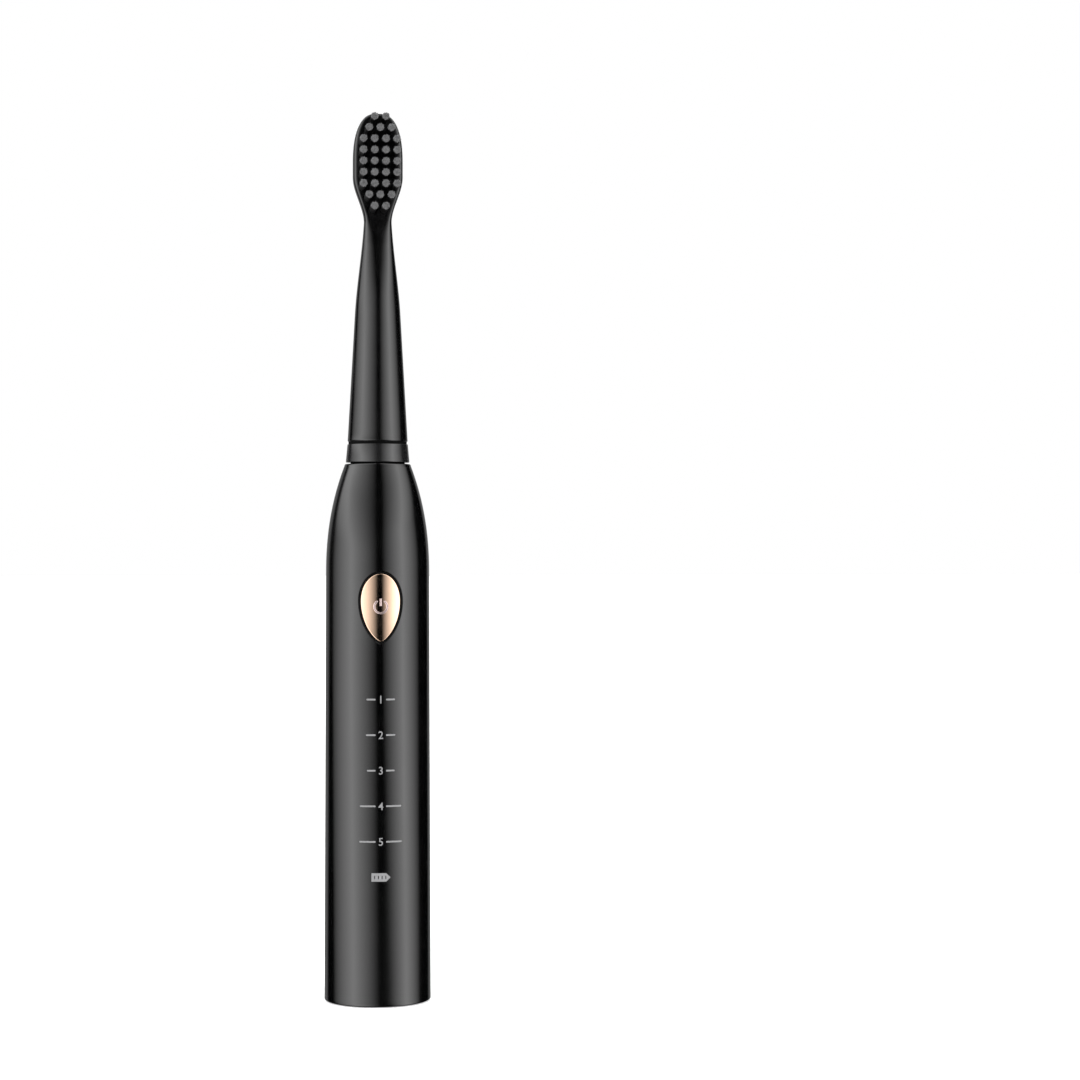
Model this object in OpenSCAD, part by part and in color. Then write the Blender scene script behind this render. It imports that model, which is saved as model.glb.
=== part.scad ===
// Sonic electric toothbrush: a rechargeable handle and a pull-off brush head.
// The handle stands on its base cap, +Z is up and the bristles face -Y.

/* [Handle] */
// Diameter of the handle at its foot
handle_d = 27; // [26.6:0.1:27.6]
// Diameter of the handle just below its shoulder
waist_d = 26.2; // [26:0.1:26.6]
// Height of the handle, from the table to its top
handle_h = 136; // [135.6:0.1:137]
// Height at which the shoulder starts to close in
shoulder_z = 108; // [106:0.5:109]
// Radius of the handle's flat top
top_r = 8.25; // [8.1:0.05:8.6]
// Wall of the handle below the shoulder
wall = 1.4; // [1.2:0.1:1.5]

/* [Power button] */
// Height of the button's widest line
button_z = 101.5; // [101:0.1:102]
// Half width of the button
button_w = 4.95; // [4.5:0.05:5.2]
// Reach of the button above its widest line
button_up = 6.8; // [6:0.1:7]
// Reach of the button below its widest line
button_down = 10.2; // [9.6:0.1:10.6]
// How far the button presses in
button_travel = 0.4; // [0.2:0.05:0.4]

/* [Brush head] */
// Height of the top of the brush plate
head_top_z = 225; // [224.8:0.1:226]
// Half width of the brush plate
plate_w = 6.32; // [6.3:0.02:6.5]
// Half width of the neck under the plate
neck_w = 3.5; // [3.4:0.05:3.7]
// Length of bristle that stands out of the plate
bristle_length = 9.5; // [9:0.5:10.5]
// Radius of a tuft at its tip
tuft_tip_r = 1.03; // [0.9:0.01:1.1]
// Distance between tufts, both ways
tuft_pitch = 2.8; // [2.7:0.01:2.84]

/* [Charging base] */
// Radius of the socket that drops over a charger's post
socket_r = 5; // [4.5:0.1:5]
// Depth of that socket
socket_depth = 10; // [8:0.5:10]

/* [Drive] */
// Radius of the drive shaft
shaft_r = 2; // [1.8:0.05:2]
// Height of the drive shaft's tip
shaft_top_z = 158; // [156:0.5:159]

/* [Hidden] */
$fn = 64;
EPS = 0.01;
FIT = 0.03;   // running clearance on the shaft
GAP = 0.1;    // clearance between pieces that are only put together
PLAY = 0.02;  // clearance between pieces pressed together
OVER = 1;     // how far a cut runs past what it opens
FAR = 20;     // farther out than any piece
TALL = 200;   // higher than any piece of the handle
SMALL = 24;   // facets of small round pieces
HEX = 6;

// Handle
foot_r = handle_d / 2;
waist_r = waist_d / 2;
bore_r = waist_r - wall;
rim_z = 0.1;              // the base cap stands this far below the housing
rim_round = 0.45;
top_round = 0.5;
ledge_z = 128;            // underside of the ring that holds the nose insert
nose_r = 6.2;
shoulder_power = 2.23;

// Base cap
cap_r = bore_r - GAP;
cap_floor = 2.2;
cap_wall = 1.8;
cap_top = 9;
socket_wall = 1.1;
groove_z = 5.2;
groove_deep = 1.2;
oring_r = 0.64;
coil_t = 2.5;
coil_top = cap_top - 0.6;
hook_w = 2;               // half width
hook_up = 4.6;            // reach of the hooks above the chassis' foot

// Board, in front of the battery and the motor
board_w = 7;              // half width
board_back = 8.1;         // distance of its back face from the axis
board_t = 0.8;
board_low = 26;
board_high = 110;
board_screw_x = 5.9;
board_screws_z = [board_low + 2, board_high - 2];
board_screw_r = 0.6;
board_front = board_back + board_t;
mark_top_z = 76.9;        // highest mode light
mark_pitch = 8.87;
modes = 5;
charge_mark_z = mark_top_z - modes * mark_pitch;
light_reach = 0.7;
switch_z = 99.8;
switch_h = 1.3;
plunger_h = 0.6;
plunger_r = 1.1;
plunger_seat = 0.5;
plunger_face = board_front + switch_h + plunger_h;

// Battery, a 14500 cell
cell_r = 7;
cell_low = 17;
cell_l = 50;
cell_y = 2.4;
nub_r = 2.6;
nub_h = 1;
tab_w = 2;                // half width
tab_t = 0.2;

// Chassis
chassis_out = bore_r - 0.5;
chassis_in = chassis_out - 1.2;
chassis_low = 12.5;
motor_low = 74;
motor_high = 118;
deck_t = 3;               // plate between the motor and the nose
deck_top = motor_high + deck_t;
collar_top = 124;
bulkheads = [13.5, 69];
bulkhead_t = 2;
hook_slot_x = 9.5;

// Motor
can_r = 7.8;
can_wall = 0.6;
plate_t = 1.5;
rotor_low = 84;
rotor_high = 108;
hub_r = 3.4;
magnet_r = 4.8;
pole_in = 5.1;
pole_out = 5.9;
pole_mid = (rotor_low + rotor_high) / 2;
leg_w = 1.4;              // half width of a stator leg
leg_h = 8;                // half height of a stator leg
bobbin_t = 0.35;
winding_w = 3.4;          // half width of a winding
bush_r = 3.5;
bush_h = 4;
lead_r = 0.4;
lead_x = 2;
lead_y = 5.4;
screw_x = 5;
screw_r = 0.6;

// Button
button_back = waist_r - 1.2;
button_face = waist_r + 0.12;
gasket_w = 0.55;
point_power = 1.4;        // how sharply the button narrows to its lower point
post_r = 1.5;
membrane_out = button_back - button_travel - 0.05;
membrane_in = membrane_out - 0.5;
membrane_grow = 1.3;
button_span = 20;         // more than the button's reach either way
icon_z = switch_z + 0.25;
icon_r = 1.9;
icon_line = 0.5;
icon_bar = [0.5, 2.1];    // ends of the bar, above the middle of the sign
icon_deep = 0.4;
icon_proud = 0.06;

// Brush head
skirt_low = handle_h + GAP;
ring_low = handle_h + 0.4;
ring_high = ring_low + 4.6;
ring_edge = 0.2;
ring_r_low = 8.07;
ring_r_high = 7.67;
skirt_r = 6.9;
skirt_wall = 1.1;
groove_r = 7.4;           // bottom of the groove between the ring and the stem
stem_low = ring_high + 0.65;
stem_r_low = 7.62;
stem_slope = 0.057;
loft_z = 178;             // the stem is round below this and flattens above it
neck_z = 197.3;
neck_start = 174;
plate_z = 208.8;          // the plate has its full width from here to crown_z
crown_z = head_top_z - 13;
crown_power = 2.5;
plate_front = 2.6;
plate_back = 2.4;
front_bulge = 3.4;        // depth of the front before its face is planed off
front_power = 4;
back_power = 2.6;
crown_blend = 1.6;
facet_tip_z = 192.5;      // foot of the flat that runs from the plate onto the neck
facet_top_z = 198;
stem_wall = 1.3;
cavity_top = 176;
core_low = handle_h + 1.5;
core_top = 166;
flat_z = handle_h + 3;    // the shaft is D-shaped above this
flat_y = shaft_r - 0.55;
clip_low = flat_z + 6;
clip_high = flat_z + 17;
clip_w = 1.3;             // half width of its pocket
tuft_depth = 3.3;
tuft_root_r = 0.85;
tuft_low_z = 200.33;
anchor_w = 0.6;           // half width
anchor_t = 0.12;          // half thickness
anchor_h = 0.9;
tuft_rows = [2, 3, 4, 4, 4, 4, 4, 3, 2];

// Nose
nose_bore = 4.6;
nose_shelf = 129.5;
flange_r = 8.6;
seal_r = nose_bore - PLAY;

// ---- Shared shapes ----

// A tube standing on z = low
module tube(r_out, r_in, low, high) {
    translate([0, 0, low]) difference() {
        cylinder(r = r_out, h = high - low);
        translate([0, 0, -OVER]) cylinder(r = r_in, h = high - low + 2 * OVER);
    }
}

// A plain disc or rod standing on z = low
module rod(r, low, high) {
    translate([0, 0, low]) cylinder(r = r, h = high - low);
}

// A box given by its two corners
module block(a, b) {
    translate(a) cube(b - a);
}

// Runs a flat shape, drawn as x and z, forward from the axis to y = -reach
module forward(reach) {
    rotate([90, 0, 0]) linear_extrude(reach) children();
}

// A rod along Y, from y = -near to y = -far, at x and z
module forward_rod(r, x, z, near, far) {
    translate([x, -near, z]) rotate([90, 0, 0]) cylinder(r = r, h = far - near, $fn = SMALL);
}

// A sector of a tube, centred on the direction turn and span degrees wide
module arc_block(r_out, r_in, low, high, turn, span) {
    translate([0, 0, low]) rotate([0, 0, turn - span / 2])
        rotate_extrude(angle = span) translate([r_in, 0]) square([r_out - r_in, high - low]);
}

// A ring of round section
module torus(ring, section, z) {
    translate([0, 0, z]) rotate_extrude() translate([ring, 0]) circle(r = section, $fn = SMALL);
}

// A wire that climbs from z = low at (x, y) and bends forward to end at y = end
module bent_wire(r, bend, x, y, low, high, end) {
    translate([x, y, 0]) {
        rod(r, low, high - bend, $fn = SMALL);
        translate([0, -bend, high - bend]) rotate([0, 0, 90]) rotate([90, 0, 0])
            rotate_extrude(angle = 90, $fn = SMALL) translate([bend, 0]) circle(r = r, $fn = SMALL);
        translate([0, -bend, high]) rotate([90, 0, 0])
            cylinder(r = r, h = y - end - bend, $fn = SMALL);
    }
}

// Points on a quarter turn or less, from angle a to angle b
function arc_points(cx, cy, r, a, b, steps = 6) =
    [for (i = [0:steps]) let (t = a + (b - a) * i / steps) [cx + r * cos(t), cy + r * sin(t)]];

function clamp(t) = max(0, min(1, t));
function smooth(t) = let (c = clamp(t)) c * c * (3 - 2 * c);
function mix(a, b, t) = a + (b - a) * t;

// ---- Outlines ----

// Radius of the handle at a height: a slight taper, then a shoulder that closes in faster and faster
function handle_r(z) = z < shoulder_z
    ? mix(foot_r, waist_r, z / shoulder_z)
    : waist_r - (waist_r - top_r) * pow((z - shoulder_z) / (handle_h - shoulder_z), shoulder_power);

// Outline of the button: half an ellipse above its widest line, a narrower point below it
function egg(grow, steps = 48) = [for (i = [0:steps - 1])
    let (a = 360 * i / steps, side = cos(a) < 0 ? -1 : 1)
    a <= 180
        ? [(button_w + grow) * cos(a), button_z + (button_up + grow) * sin(a)]
        : [(button_w + grow) * side * pow(abs(cos(a)), point_power),
           button_z + (button_down + grow) * sin(a)]];

// Half width of the brush head at a height: straight stem, neck, then the plate and its rounded crown
function head_w(z) =
    z < neck_z ? let (line = stem_r_low - stem_slope * (z - stem_low),
                      drop = stem_r_low - stem_slope * (neck_z - stem_low) - neck_w)
                 line - drop * smooth((z - neck_start) / (neck_z - neck_start))
    : z < crown_z ? mix(neck_w, plate_w, smooth((z - neck_z) / (plate_z - neck_z)))
    : plate_w * pow(1 - pow(clamp((z - crown_z) / (head_top_z - crown_z)), crown_power), 1 / crown_power);

// How far the section has changed from a circle, at loft_z, to the plate's flattened section
function flatness(z) = smooth((z - loft_z) / (plate_z - 2 - loft_z));

// One section of the head: a superellipse that is deeper in front than behind
function head_section(z, sides) =
    let (w = head_w(z), f = flatness(z), crown = clamp(w / plate_w * crown_blend),
         front = mix(w, front_bulge * crown, f), back = mix(w, plate_back * crown, f))
    [for (i = [0:sides - 1])
        let (a = 360 * i / sides, c = cos(a), s = sin(a),
             n = mix(2, s < 0 ? front_power : back_power, f), deep = s < 0 ? front : back,
             k = pow(pow(abs(c), n) + pow(abs(s), n), -1 / n))
        [w * c * k, deep * s * k, z]];

// ---- Handle ----

module handle_housing() {
    steps = 18;
    crest = handle_h - top_round;
    outer = concat(
        arc_points(foot_r - rim_round, rim_z + rim_round, rim_round, -90, 0),
        [for (i = [0:steps]) let (z = mix(shoulder_z, crest, i / steps)) [handle_r(z), z]],
        arc_points(handle_r(crest) - top_round, crest, top_round, 20, 90));
    inner = concat(
        [[nose_r, handle_h], [nose_r, ledge_z]],
        [for (i = [0:steps]) let (z = mix(ledge_z, shoulder_z, i / steps)) [handle_r(z) - wall, z]],
        [[bore_r, rim_z]]);
    color("black") difference() {
        rotate_extrude($fn = 96) polygon(concat(outer, inner));
        forward(foot_r + OVER) polygon(egg(gasket_w));
    }
}

module base_cap() {
    groove_half = 0.8;
    hook_t = 1;
    hook_in = 1.2;
    color("dimgray") {
        difference() {
            union() {
                rod(cap_r, 0, cap_floor);
                tube(cap_r, cap_r - cap_wall, cap_floor - EPS, cap_top);
                rod(socket_r + socket_wall, cap_floor - EPS, socket_depth + socket_wall);
            }
            rod(socket_r, -OVER, socket_depth);
            tube(cap_r + OVER, cap_r - groove_deep, groove_z - groove_half, groove_z + groove_half);
        }
        // Two snap hooks that hold the chassis down
        for (side = [-1, 1]) {
            x = side * (chassis_in - hook_in);
            block([min(x, x + side * hook_t), -hook_w, cap_top - EPS],
                  [max(x, x + side * hook_t), hook_w, chassis_low + hook_up]);
        }
    }
}

module base_oring() {
    color("firebrick") torus(cap_r - groove_deep + oring_r, oring_r, groove_z);
}

module charge_coil() {
    coil_in = socket_r + socket_wall;
    color("peru") tube(coil_in + coil_t, coil_in + 0.05, cap_floor + GAP, coil_top);
}

module coil_leads() {
    bend = 0.8;
    x = 3.6;
    y = 6.6;
    pad_z = board_low + 3;
    color("gold") for (side = [-x, x]) bent_wire(lead_r, bend, side, -y, coil_top, pad_z, -board_back);
}

module chassis() {
    front_cut = [-FAR, -FAR, 0];
    rail_in = 4.9;
    rail_back = 6.4;
    rail_low = board_low - 4;
    bulkhead_cut = 4.8;
    deck_r = 9.4;
    collar_out = 9.2;
    collar_in = 7.4;
    windows = [[22, 62], [84, 106]];
    window_w = 3.4;
    slot_x = 1.7;
    slot_y = hook_w + 0.4;
    motor_screw_hole = 0.9;
    pilot_r = board_screw_r + PLAY;
    color("lightgray") difference() {
        union() {
            difference() {
                tube(chassis_out, chassis_in, chassis_low, motor_high);
                block(front_cut, [FAR, -board_back, TALL]);
            }
            // Rails that the board is screwed to
            for (side = [-1, 1]) difference() {
                intersection() {
                    rod(chassis_in + GAP, rail_low, motor_high);
                    block([side > 0 ? rail_in : -FAR, -board_back, 0],
                          [side > 0 ? FAR : -rail_in, -rail_back, TALL]);
                }
                rod(can_r + 0.2, motor_low - OVER, motor_high + OVER);
            }
            // Bulkheads below and above the battery
            for (z = bulkheads) difference() {
                rod(chassis_in + GAP, z, z + bulkhead_t);
                block(front_cut, [FAR, -bulkhead_cut, TALL]);
            }
            // Deck over the motor, and the collar that carries the nose insert
            rod(deck_r, motor_high, deck_top);
            tube(collar_out, collar_in, deck_top - EPS, collar_top);
        }
        // Windows over the battery and the motor
        for (z = windows) for (turn = [30, 90, 150]) rotate([0, 0, turn])
            block([chassis_in - OVER, -window_w, z[0]], [chassis_out + OVER, window_w, z[1]]);
        // Slots for the base cap's hooks
        for (side = [-1, 1])
            block([side * hook_slot_x - slot_x, -slot_y, 0],
                  [side * hook_slot_x + slot_x, slot_y, chassis_low + hook_up + 0.4]);
        rod(shaft_r + 1, motor_high - OVER, collar_top + OVER);
        for (x = [-screw_x, screw_x]) translate([x, 0, 0])
            rod(motor_screw_hole, motor_high - OVER, deck_top + OVER, $fn = SMALL);
        for (x = [-board_screw_x, board_screw_x]) for (z = board_screws_z)
            forward_rod(pilot_r, x, z, 5, board_back + OVER);
    }
}

module battery_cell() {
    shoulder = cell_low + cell_l - nub_h;
    color("royalblue") translate([0, cell_y, 0]) {
        rod(cell_r, cell_low, shoulder);
        rod(nub_r, shoulder - EPS, cell_low + cell_l);
    }
}

module battery_pad() {
    color("dimgray") translate([0, cell_y, 0])
        rod(cell_r - 0.4, bulkheads[0] + bulkhead_t, cell_low - tab_t - 0.05);
}

module battery_tabs() {
    plus_z = cell_low + cell_l;
    pad_z = board_low + 2;
    tail = board_back - 1.2;
    reach = cell_y + 1.5;
    color("silver") {
        block([-tab_w, -board_back, plus_z], [tab_w, reach, plus_z + tab_t]);
        block([-tab_w, -tail, cell_low - tab_t], [tab_w, reach, cell_low]);
        block([-tab_w, -tail, cell_low - EPS], [tab_w, -tail + tab_t, pad_z]);
        block([-tab_w, -board_back, pad_z - EPS], [tab_w, -tail + tab_t, pad_z + tab_t]);
    }
}

module main_board() {
    color("darkgreen") difference() {
        block([-board_w, -board_front, board_low], [board_w, -board_back, board_high]);
        for (x = [-board_screw_x, board_screw_x]) for (z = board_screws_z)
            forward_rod(board_screw_r + GAP, x, z, board_back - OVER, board_front + OVER);
    }
}

module board_screws() {
    tip = 6.6;
    head_r = 0.85;
    head_h = 0.5;
    drive_r = 0.4;
    color("silver") for (x = [-board_screw_x, board_screw_x]) for (z = board_screws_z) difference() {
        union() {
            forward_rod(board_screw_r, x, z, tip, board_front + 2 * EPS);
            forward_rod(head_r, x, z, board_front + EPS, board_front + head_h);
        }
        forward_rod(drive_r, x, z, board_front + 0.3, board_front + OVER);
    }
}

module control_chip() {
    body = [2, 1.2, 5];
    chip_z = 82;
    pins = 4;
    pin_pitch = 1.27;
    pin = [0.45, 0.3, 0.2];
    first = chip_z + 0.6;
    color("black") block([-body.x, -board_front - body.y, chip_z], [body.x, -board_front, chip_z + body.z]);
    color("silver") for (side = [-1, 1]) for (i = [0:pins - 1]) {
        x = side * (body.x + pin.x);
        z = first + i * pin_pitch;
        block([x - pin.x, -board_front - pin.y, z - pin.z], [x + pin.x, -board_front, z + pin.z]);
    }
}

module board_components() {
    spots = [[-4.6, 84], [-4.6, 86.5], [4.6, 83], [4.6, 88], [-4.4, 91], [4.4, 92], [0, 90]];
    chip = [0.5, 0.5, 0.9];
    strip = [3, 0.2, 1.5];
    strip_z = 107.5;
    color("tan") for (spot = spots)
        block([spot[0] - chip.x, -board_front - chip.y, spot[1] - chip.z],
              [spot[0] + chip.x, -board_front, spot[1] + chip.z]);
    color("dimgray") block([-strip.x, -board_back, strip_z - strip.z],
                           [strip.x, -board_back + strip.y, strip_z + strip.z]);
}

module light_package(z) {
    half = [0.8, 0.5];
    block([-half[0], -board_front - light_reach, z - half[1]], [half[0], -board_front, z + half[1]]);
}

module mode_leds() {
    color("white") for (i = [0:modes - 1]) light_package(mark_top_z - i * mark_pitch);
}

module charge_led() {
    color("limegreen") light_package(charge_mark_z);
}

module light_guide() {
    guide_w = 5;
    window = [4, 1.5];
    color("whitesmoke") difference() {
        intersection() {
            rod(bore_r - 0.2, charge_mark_z - 2, mark_top_z + 3);
            block([-guide_w, -FAR, 0], [guide_w, -board_front - PLAY, TALL]);
        }
        for (i = [0:modes]) let (z = mark_top_z - i * mark_pitch)
            block([-window[0], -FAR, z - window[1]], [window[0], 0, z + window[1]]);
    }
}

module tact_switch() {
    half = 2.25;
    leg = [0.7, 0.25, 0.35];
    leg_x = 2.9;
    leg_z = 1.5;
    color("gray") {
        difference() {
            block([-half, -board_front - switch_h, switch_z - half], [half, -board_front, switch_z + half]);
            forward_rod(plunger_r + 0.05, 0, switch_z, board_front + plunger_seat, FAR);
        }
        for (x = [-leg_x, leg_x]) for (z = [switch_z - leg_z, switch_z + leg_z])
            block([x - leg.x, -board_front - leg.y, z - leg.z], [x + leg.x, -board_front, z + leg.z]);
    }
}

module switch_plunger() {
    near = board_front + plunger_seat + button_travel + GAP;
    color("black") forward_rod(plunger_r, 0, switch_z, near, plunger_face);
}

module icon_shape(grow) {
    opening = [1.5 - grow, 3];
    translate([0, icon_z]) {
        difference() {
            circle(r = icon_r + grow);
            circle(r = icon_r - icon_line - grow);
            polygon([[0, 0], [-opening[0], opening[1]], opening]);
        }
        translate([-icon_line / 2 - grow, icon_bar[0] - grow])
            square([icon_line + 2 * grow, icon_bar[1] - icon_bar[0] + 2 * grow]);
    }
}

module power_button() {
    color("rosybrown") difference() {
        union() {
            intersection() {
                forward(foot_r + OVER) polygon(egg(0));
                tube(button_face, button_back, button_z - button_span, button_z + button_span);
            }
            forward_rod(post_r, 0, switch_z, plunger_face + EPS, button_back + 0.4);
        }
        intersection() {
            forward(foot_r + OVER) icon_shape(PLAY);
            tube(foot_r + OVER, button_face - icon_deep, button_z - button_span, button_z + button_span);
        }
    }
}

module power_icon() {
    color("white") intersection() {
        forward(foot_r + OVER) icon_shape(0);
        tube(button_face + icon_proud, button_face - icon_deep + PLAY,
             button_z - button_span, button_z + button_span);
    }
}

module button_gasket() {
    low = button_z - button_span;
    high = button_z + button_span;
    color("black") difference() {
        union() {
            intersection() {
                forward(foot_r + OVER) polygon(egg(gasket_w - FIT));
                tube(waist_r - 0.15, bore_r - 0.3, low, high);
            }
            intersection() {
                forward(foot_r + OVER) polygon(egg(membrane_grow));
                tube(bore_r - PLAY, membrane_in, low, high);
            }
        }
        difference() {
            forward(foot_r + OVER) polygon(egg(GAP));
            rod(membrane_out, 0, TALL);
        }
        forward_rod(post_r + 0.08, 0, switch_z, 0, FAR);
    }
}

// ---- Motor ----

module motor_can() {
    opening = [3, 4, 2];
    foot = motor_low + plate_t;
    color("silver") difference() {
        tube(can_r, can_r - can_wall, foot, motor_high - plate_t);
        block([-opening.x, -FAR, foot - OVER], [opening.x, -opening.y, foot + opening.z]);
    }
}

module motor_front_plate() {
    color("gray") difference() {
        rod(can_r, motor_high - plate_t, motor_high);
        rod(bush_r, motor_high - bush_h, motor_high + OVER);
        for (x = [-screw_x, screw_x]) translate([x, 0, 0])
            rod(screw_r + PLAY, motor_high - plate_t - OVER, motor_high + OVER, $fn = SMALL);
    }
}

module motor_rear_plate() {
    color("gray") difference() {
        rod(can_r, motor_low, motor_low + plate_t);
        rod(bush_r, motor_low + 0.4, motor_low + bush_h + OVER);
        for (x = [-lead_x, lead_x]) translate([x, -lead_y, 0])
            rod(lead_r + GAP, motor_low - OVER, motor_low + bush_h, $fn = SMALL);
    }
}

module bush(low, high) {
    tube(bush_r - EPS, shaft_r + FIT, low, high);
}

module front_bush() {
    color("goldenrod") bush(motor_high - bush_h, motor_high);
}

module rear_bush() {
    foot = motor_low + 0.42;
    color("goldenrod") bush(foot, foot + bush_h);
}

module stator_cores() {
    color("slategray") for (turn = [0, 180]) {
        arc_block(pole_out, pole_in, rotor_low, rotor_high, turn, 84);
        rotate([0, 0, turn]) intersection() {
            block([pole_out - 0.3, -leg_w, pole_mid - leg_h], [can_r, leg_w, pole_mid + leg_h]);
            rod(can_r - can_wall - PLAY, 0, TALL);
        }
    }
}

// One frame round a stator leg, from half width a to half width b
module leg_frame(a, b) {
    in_h = leg_h + a - leg_w;
    out_h = leg_h + b - leg_w;
    difference() {
        intersection() {
            block([pole_in, -b, pole_mid - out_h], [can_r, b, pole_mid + out_h]);
            rod(can_r - can_wall - 0.05, 0, TALL);
        }
        rod(pole_out + FIT, 0, TALL);
        block([0, -a, pole_mid - in_h], [FAR, a, pole_mid + in_h]);
    }
}

module stator_bobbins() {
    color("ivory") for (turn = [0, 180]) rotate([0, 0, turn])
        leg_frame(leg_w + FIT, leg_w + bobbin_t);
}

module stator_coils() {
    color("chocolate") for (turn = [0, 180]) rotate([0, 0, turn])
        leg_frame(leg_w + bobbin_t + FIT, winding_w);
}

module motor_leads() {
    colors = ["red", "black"];
    bend = 0.8;
    out_z = motor_low - 1;
    for (i = [0, 1]) color(colors[i]) translate([(2 * i - 1) * lead_x, 0, 0]) {
        translate([0, -lead_y, 0]) rod(lead_r, out_z, motor_low + plate_t, $fn = SMALL);
        translate([0, -lead_y - bend, out_z]) rotate([0, 0, 90]) rotate([90, 0, 0])
            rotate_extrude(angle = -90, $fn = SMALL) translate([bend, 0]) circle(r = lead_r, $fn = SMALL);
        forward_rod(lead_r, 0, out_z - bend, lead_y + bend, board_back);
    }
}

module motor_screws() {
    head_r = 1.3;
    drive_r = 0.7;
    color("silver") for (x = [-screw_x, screw_x]) translate([x, 0, 0]) difference() {
        union() {
            rod(screw_r, motor_high - plate_t, deck_top + 2 * EPS, $fn = SMALL);
            rod(head_r, deck_top + EPS, deck_top + 1, $fn = SMALL);
        }
        rod(drive_r, deck_top + 0.4, deck_top + 1 + OVER, $fn = HEX);
    }
}

// A rubber ring between the can and the chassis, open where the board passes
module cushion_ring(low, high) {
    open_from = 6;
    color("dimgray") difference() {
        tube(chassis_in - FIT, can_r + PLAY, low, high);
        block([-FAR, -FAR, 0], [FAR, -open_from, TALL]);
    }
}

module motor_sleeve() {
    cushion_ring(75.5, 80.5);
}

module motor_collar() {
    cushion_ring(109, 114);
}

module drive_shaft() {
    chamfer = 0.5;
    neck_low = flat_z + 12;
    neck_h = 1.2;
    color("silver") difference() {
        union() {
            rod(shaft_r, motor_low + 0.6, shaft_top_z - chamfer);
            translate([0, 0, shaft_top_z - chamfer - EPS])
                cylinder(r1 = shaft_r, r2 = shaft_r - chamfer, h = chamfer + EPS);
        }
        block([-FAR, -FAR, flat_z], [FAR, -flat_y, TALL]);
        tube(shaft_r + OVER, shaft_r - 0.3, neck_low, neck_low + neck_h);
    }
}

module rotor_hub() {
    color("slategray") tube(hub_r, shaft_r, rotor_low, rotor_high);
}

module rotor_magnets() {
    span = 110;
    inset = 1;
    color("dimgray") for (turn = [90, 270])
        arc_block(magnet_r, hub_r + EPS, rotor_low + inset, rotor_high - inset, turn, span);
}

// ---- Nose, where the shaft leaves the handle ----

module nose_insert() {
    groove_out = 7.8;
    groove_in = 6.6;
    color("dimgray") difference() {
        union() {
            rod(flange_r, collar_top + 0.05, ledge_z - 0.05);
            rod(nose_r - 0.05, ledge_z - GAP, handle_h - GAP);
        }
        rod(shaft_r + 0.6, collar_top - OVER, handle_h + OVER);
        rod(nose_bore, nose_shelf, handle_h + OVER);
        tube(groove_out, groove_in, ledge_z - 1, ledge_z + OVER);
    }
}

module nose_oring() {
    ring = 7.2;
    section = 0.47;
    color("firebrick") torus(ring, section, ledge_z - 0.5);
}

module shaft_seal() {
    floor_top = 130.8;
    wall_in = 3.9;
    wall_top = 134;
    lip_low = 133;
    lip_h = 2.2;
    lip_t = 0.4;
    color("darkslategray") difference() {
        union() {
            tube(seal_r, shaft_r + 0.5, nose_shelf + PLAY, floor_top);
            tube(seal_r, wall_in, floor_top - GAP, wall_top);
            translate([0, 0, lip_low]) cylinder(r1 = wall_in + 0.5, r2 = shaft_r + 0.6, h = lip_h);
        }
        translate([0, 0, lip_low - lip_t]) cylinder(r1 = wall_in + GAP, r2 = shaft_r + FIT, h = 2);
        rod(shaft_r + FIT, collar_top, TALL);
    }
}

module seal_washer() {
    washer_t = 0.16;
    color("silver") tube(seal_r, seal_r - washer_t, 134.05, 135.4);
}

// ---- Brush head ----

// The flattened neck and plate: sections from just below loft_z up to the crown
module head_loft() {
    sides = 40;
    climb = 15;
    round_steps = 9;
    nearly_up = 88;
    heights = concat(
        [for (i = [0:climb]) mix(loft_z - OVER, plate_z, i / climb)],
        [for (i = [0:round_steps]) let (a = nearly_up * i / round_steps)
            mix(crown_z, head_top_z, sin(a))]);
    rings = [for (z = heights) head_section(z, sides)];
    last = len(rings) - 1;
    polyhedron(
        points = [for (ring = rings) for (p = ring) p],
        faces = concat(
            [[for (i = [0:sides - 1]) i]],
            [for (k = [0:last - 1]) for (i = [0:sides - 1]) for (half = [0, 1])
                let (j = (i + 1) % sides, a = k * sides, b = a + sides)
                half == 0 ? [a + i, b + i, b + j] : [a + i, b + j, a + j]],
            [[for (i = [0:sides - 1]) last * sides + sides - 1 - i]]));
}

// Places of the tufts: rows of two, three or four, centred on the plate
function tuft_places() =
    [for (row = [0:len(tuft_rows) - 1]) for (i = [0:tuft_rows[row] - 1])
        [(i - (tuft_rows[row] - 1) / 2) * tuft_pitch, tuft_low_z + row * tuft_pitch]];

module head_stem() {
    hollow_r = skirt_r - skirt_wall;
    facet_tilt = atan2(head_w(facet_tip_z) - plate_front, facet_top_z - facet_tip_z);
    color("black") difference() {
        union() {
            rotate_extrude($fn = 96) polygon(concat(
                [[0, skirt_low], [skirt_r, skirt_low], [skirt_r, ring_high + GAP],
                 [groove_r, ring_high + GAP], [groove_r, stem_low]],
                [for (z = [stem_low, core_top, neck_start, loft_z]) [head_w(z), z]],
                [[0, loft_z]]));
            head_loft();
        }
        // Room for the core
        rotate_extrude($fn = 96) polygon([
            [0, skirt_low - OVER], [hollow_r, skirt_low - OVER], [hollow_r, stem_low],
            [head_w(cavity_top) - stem_wall, cavity_top], [0, cavity_top]]);
        // Flat face of the plate, and the facet that runs from it onto the neck
        block([-FAR, -FAR, facet_top_z], [FAR, -plate_front, head_top_z + OVER]);
        translate([0, -plate_front, facet_top_z]) rotate([-facet_tilt, 0, 0])
            block([-FAR, -FAR / 2, -FAR / 2], [FAR, 0, 0]);
        for (p = tuft_places())
            forward_rod(tuft_root_r + PLAY, p[0], p[1], plate_front - tuft_depth, FAR);
    }
}

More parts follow.
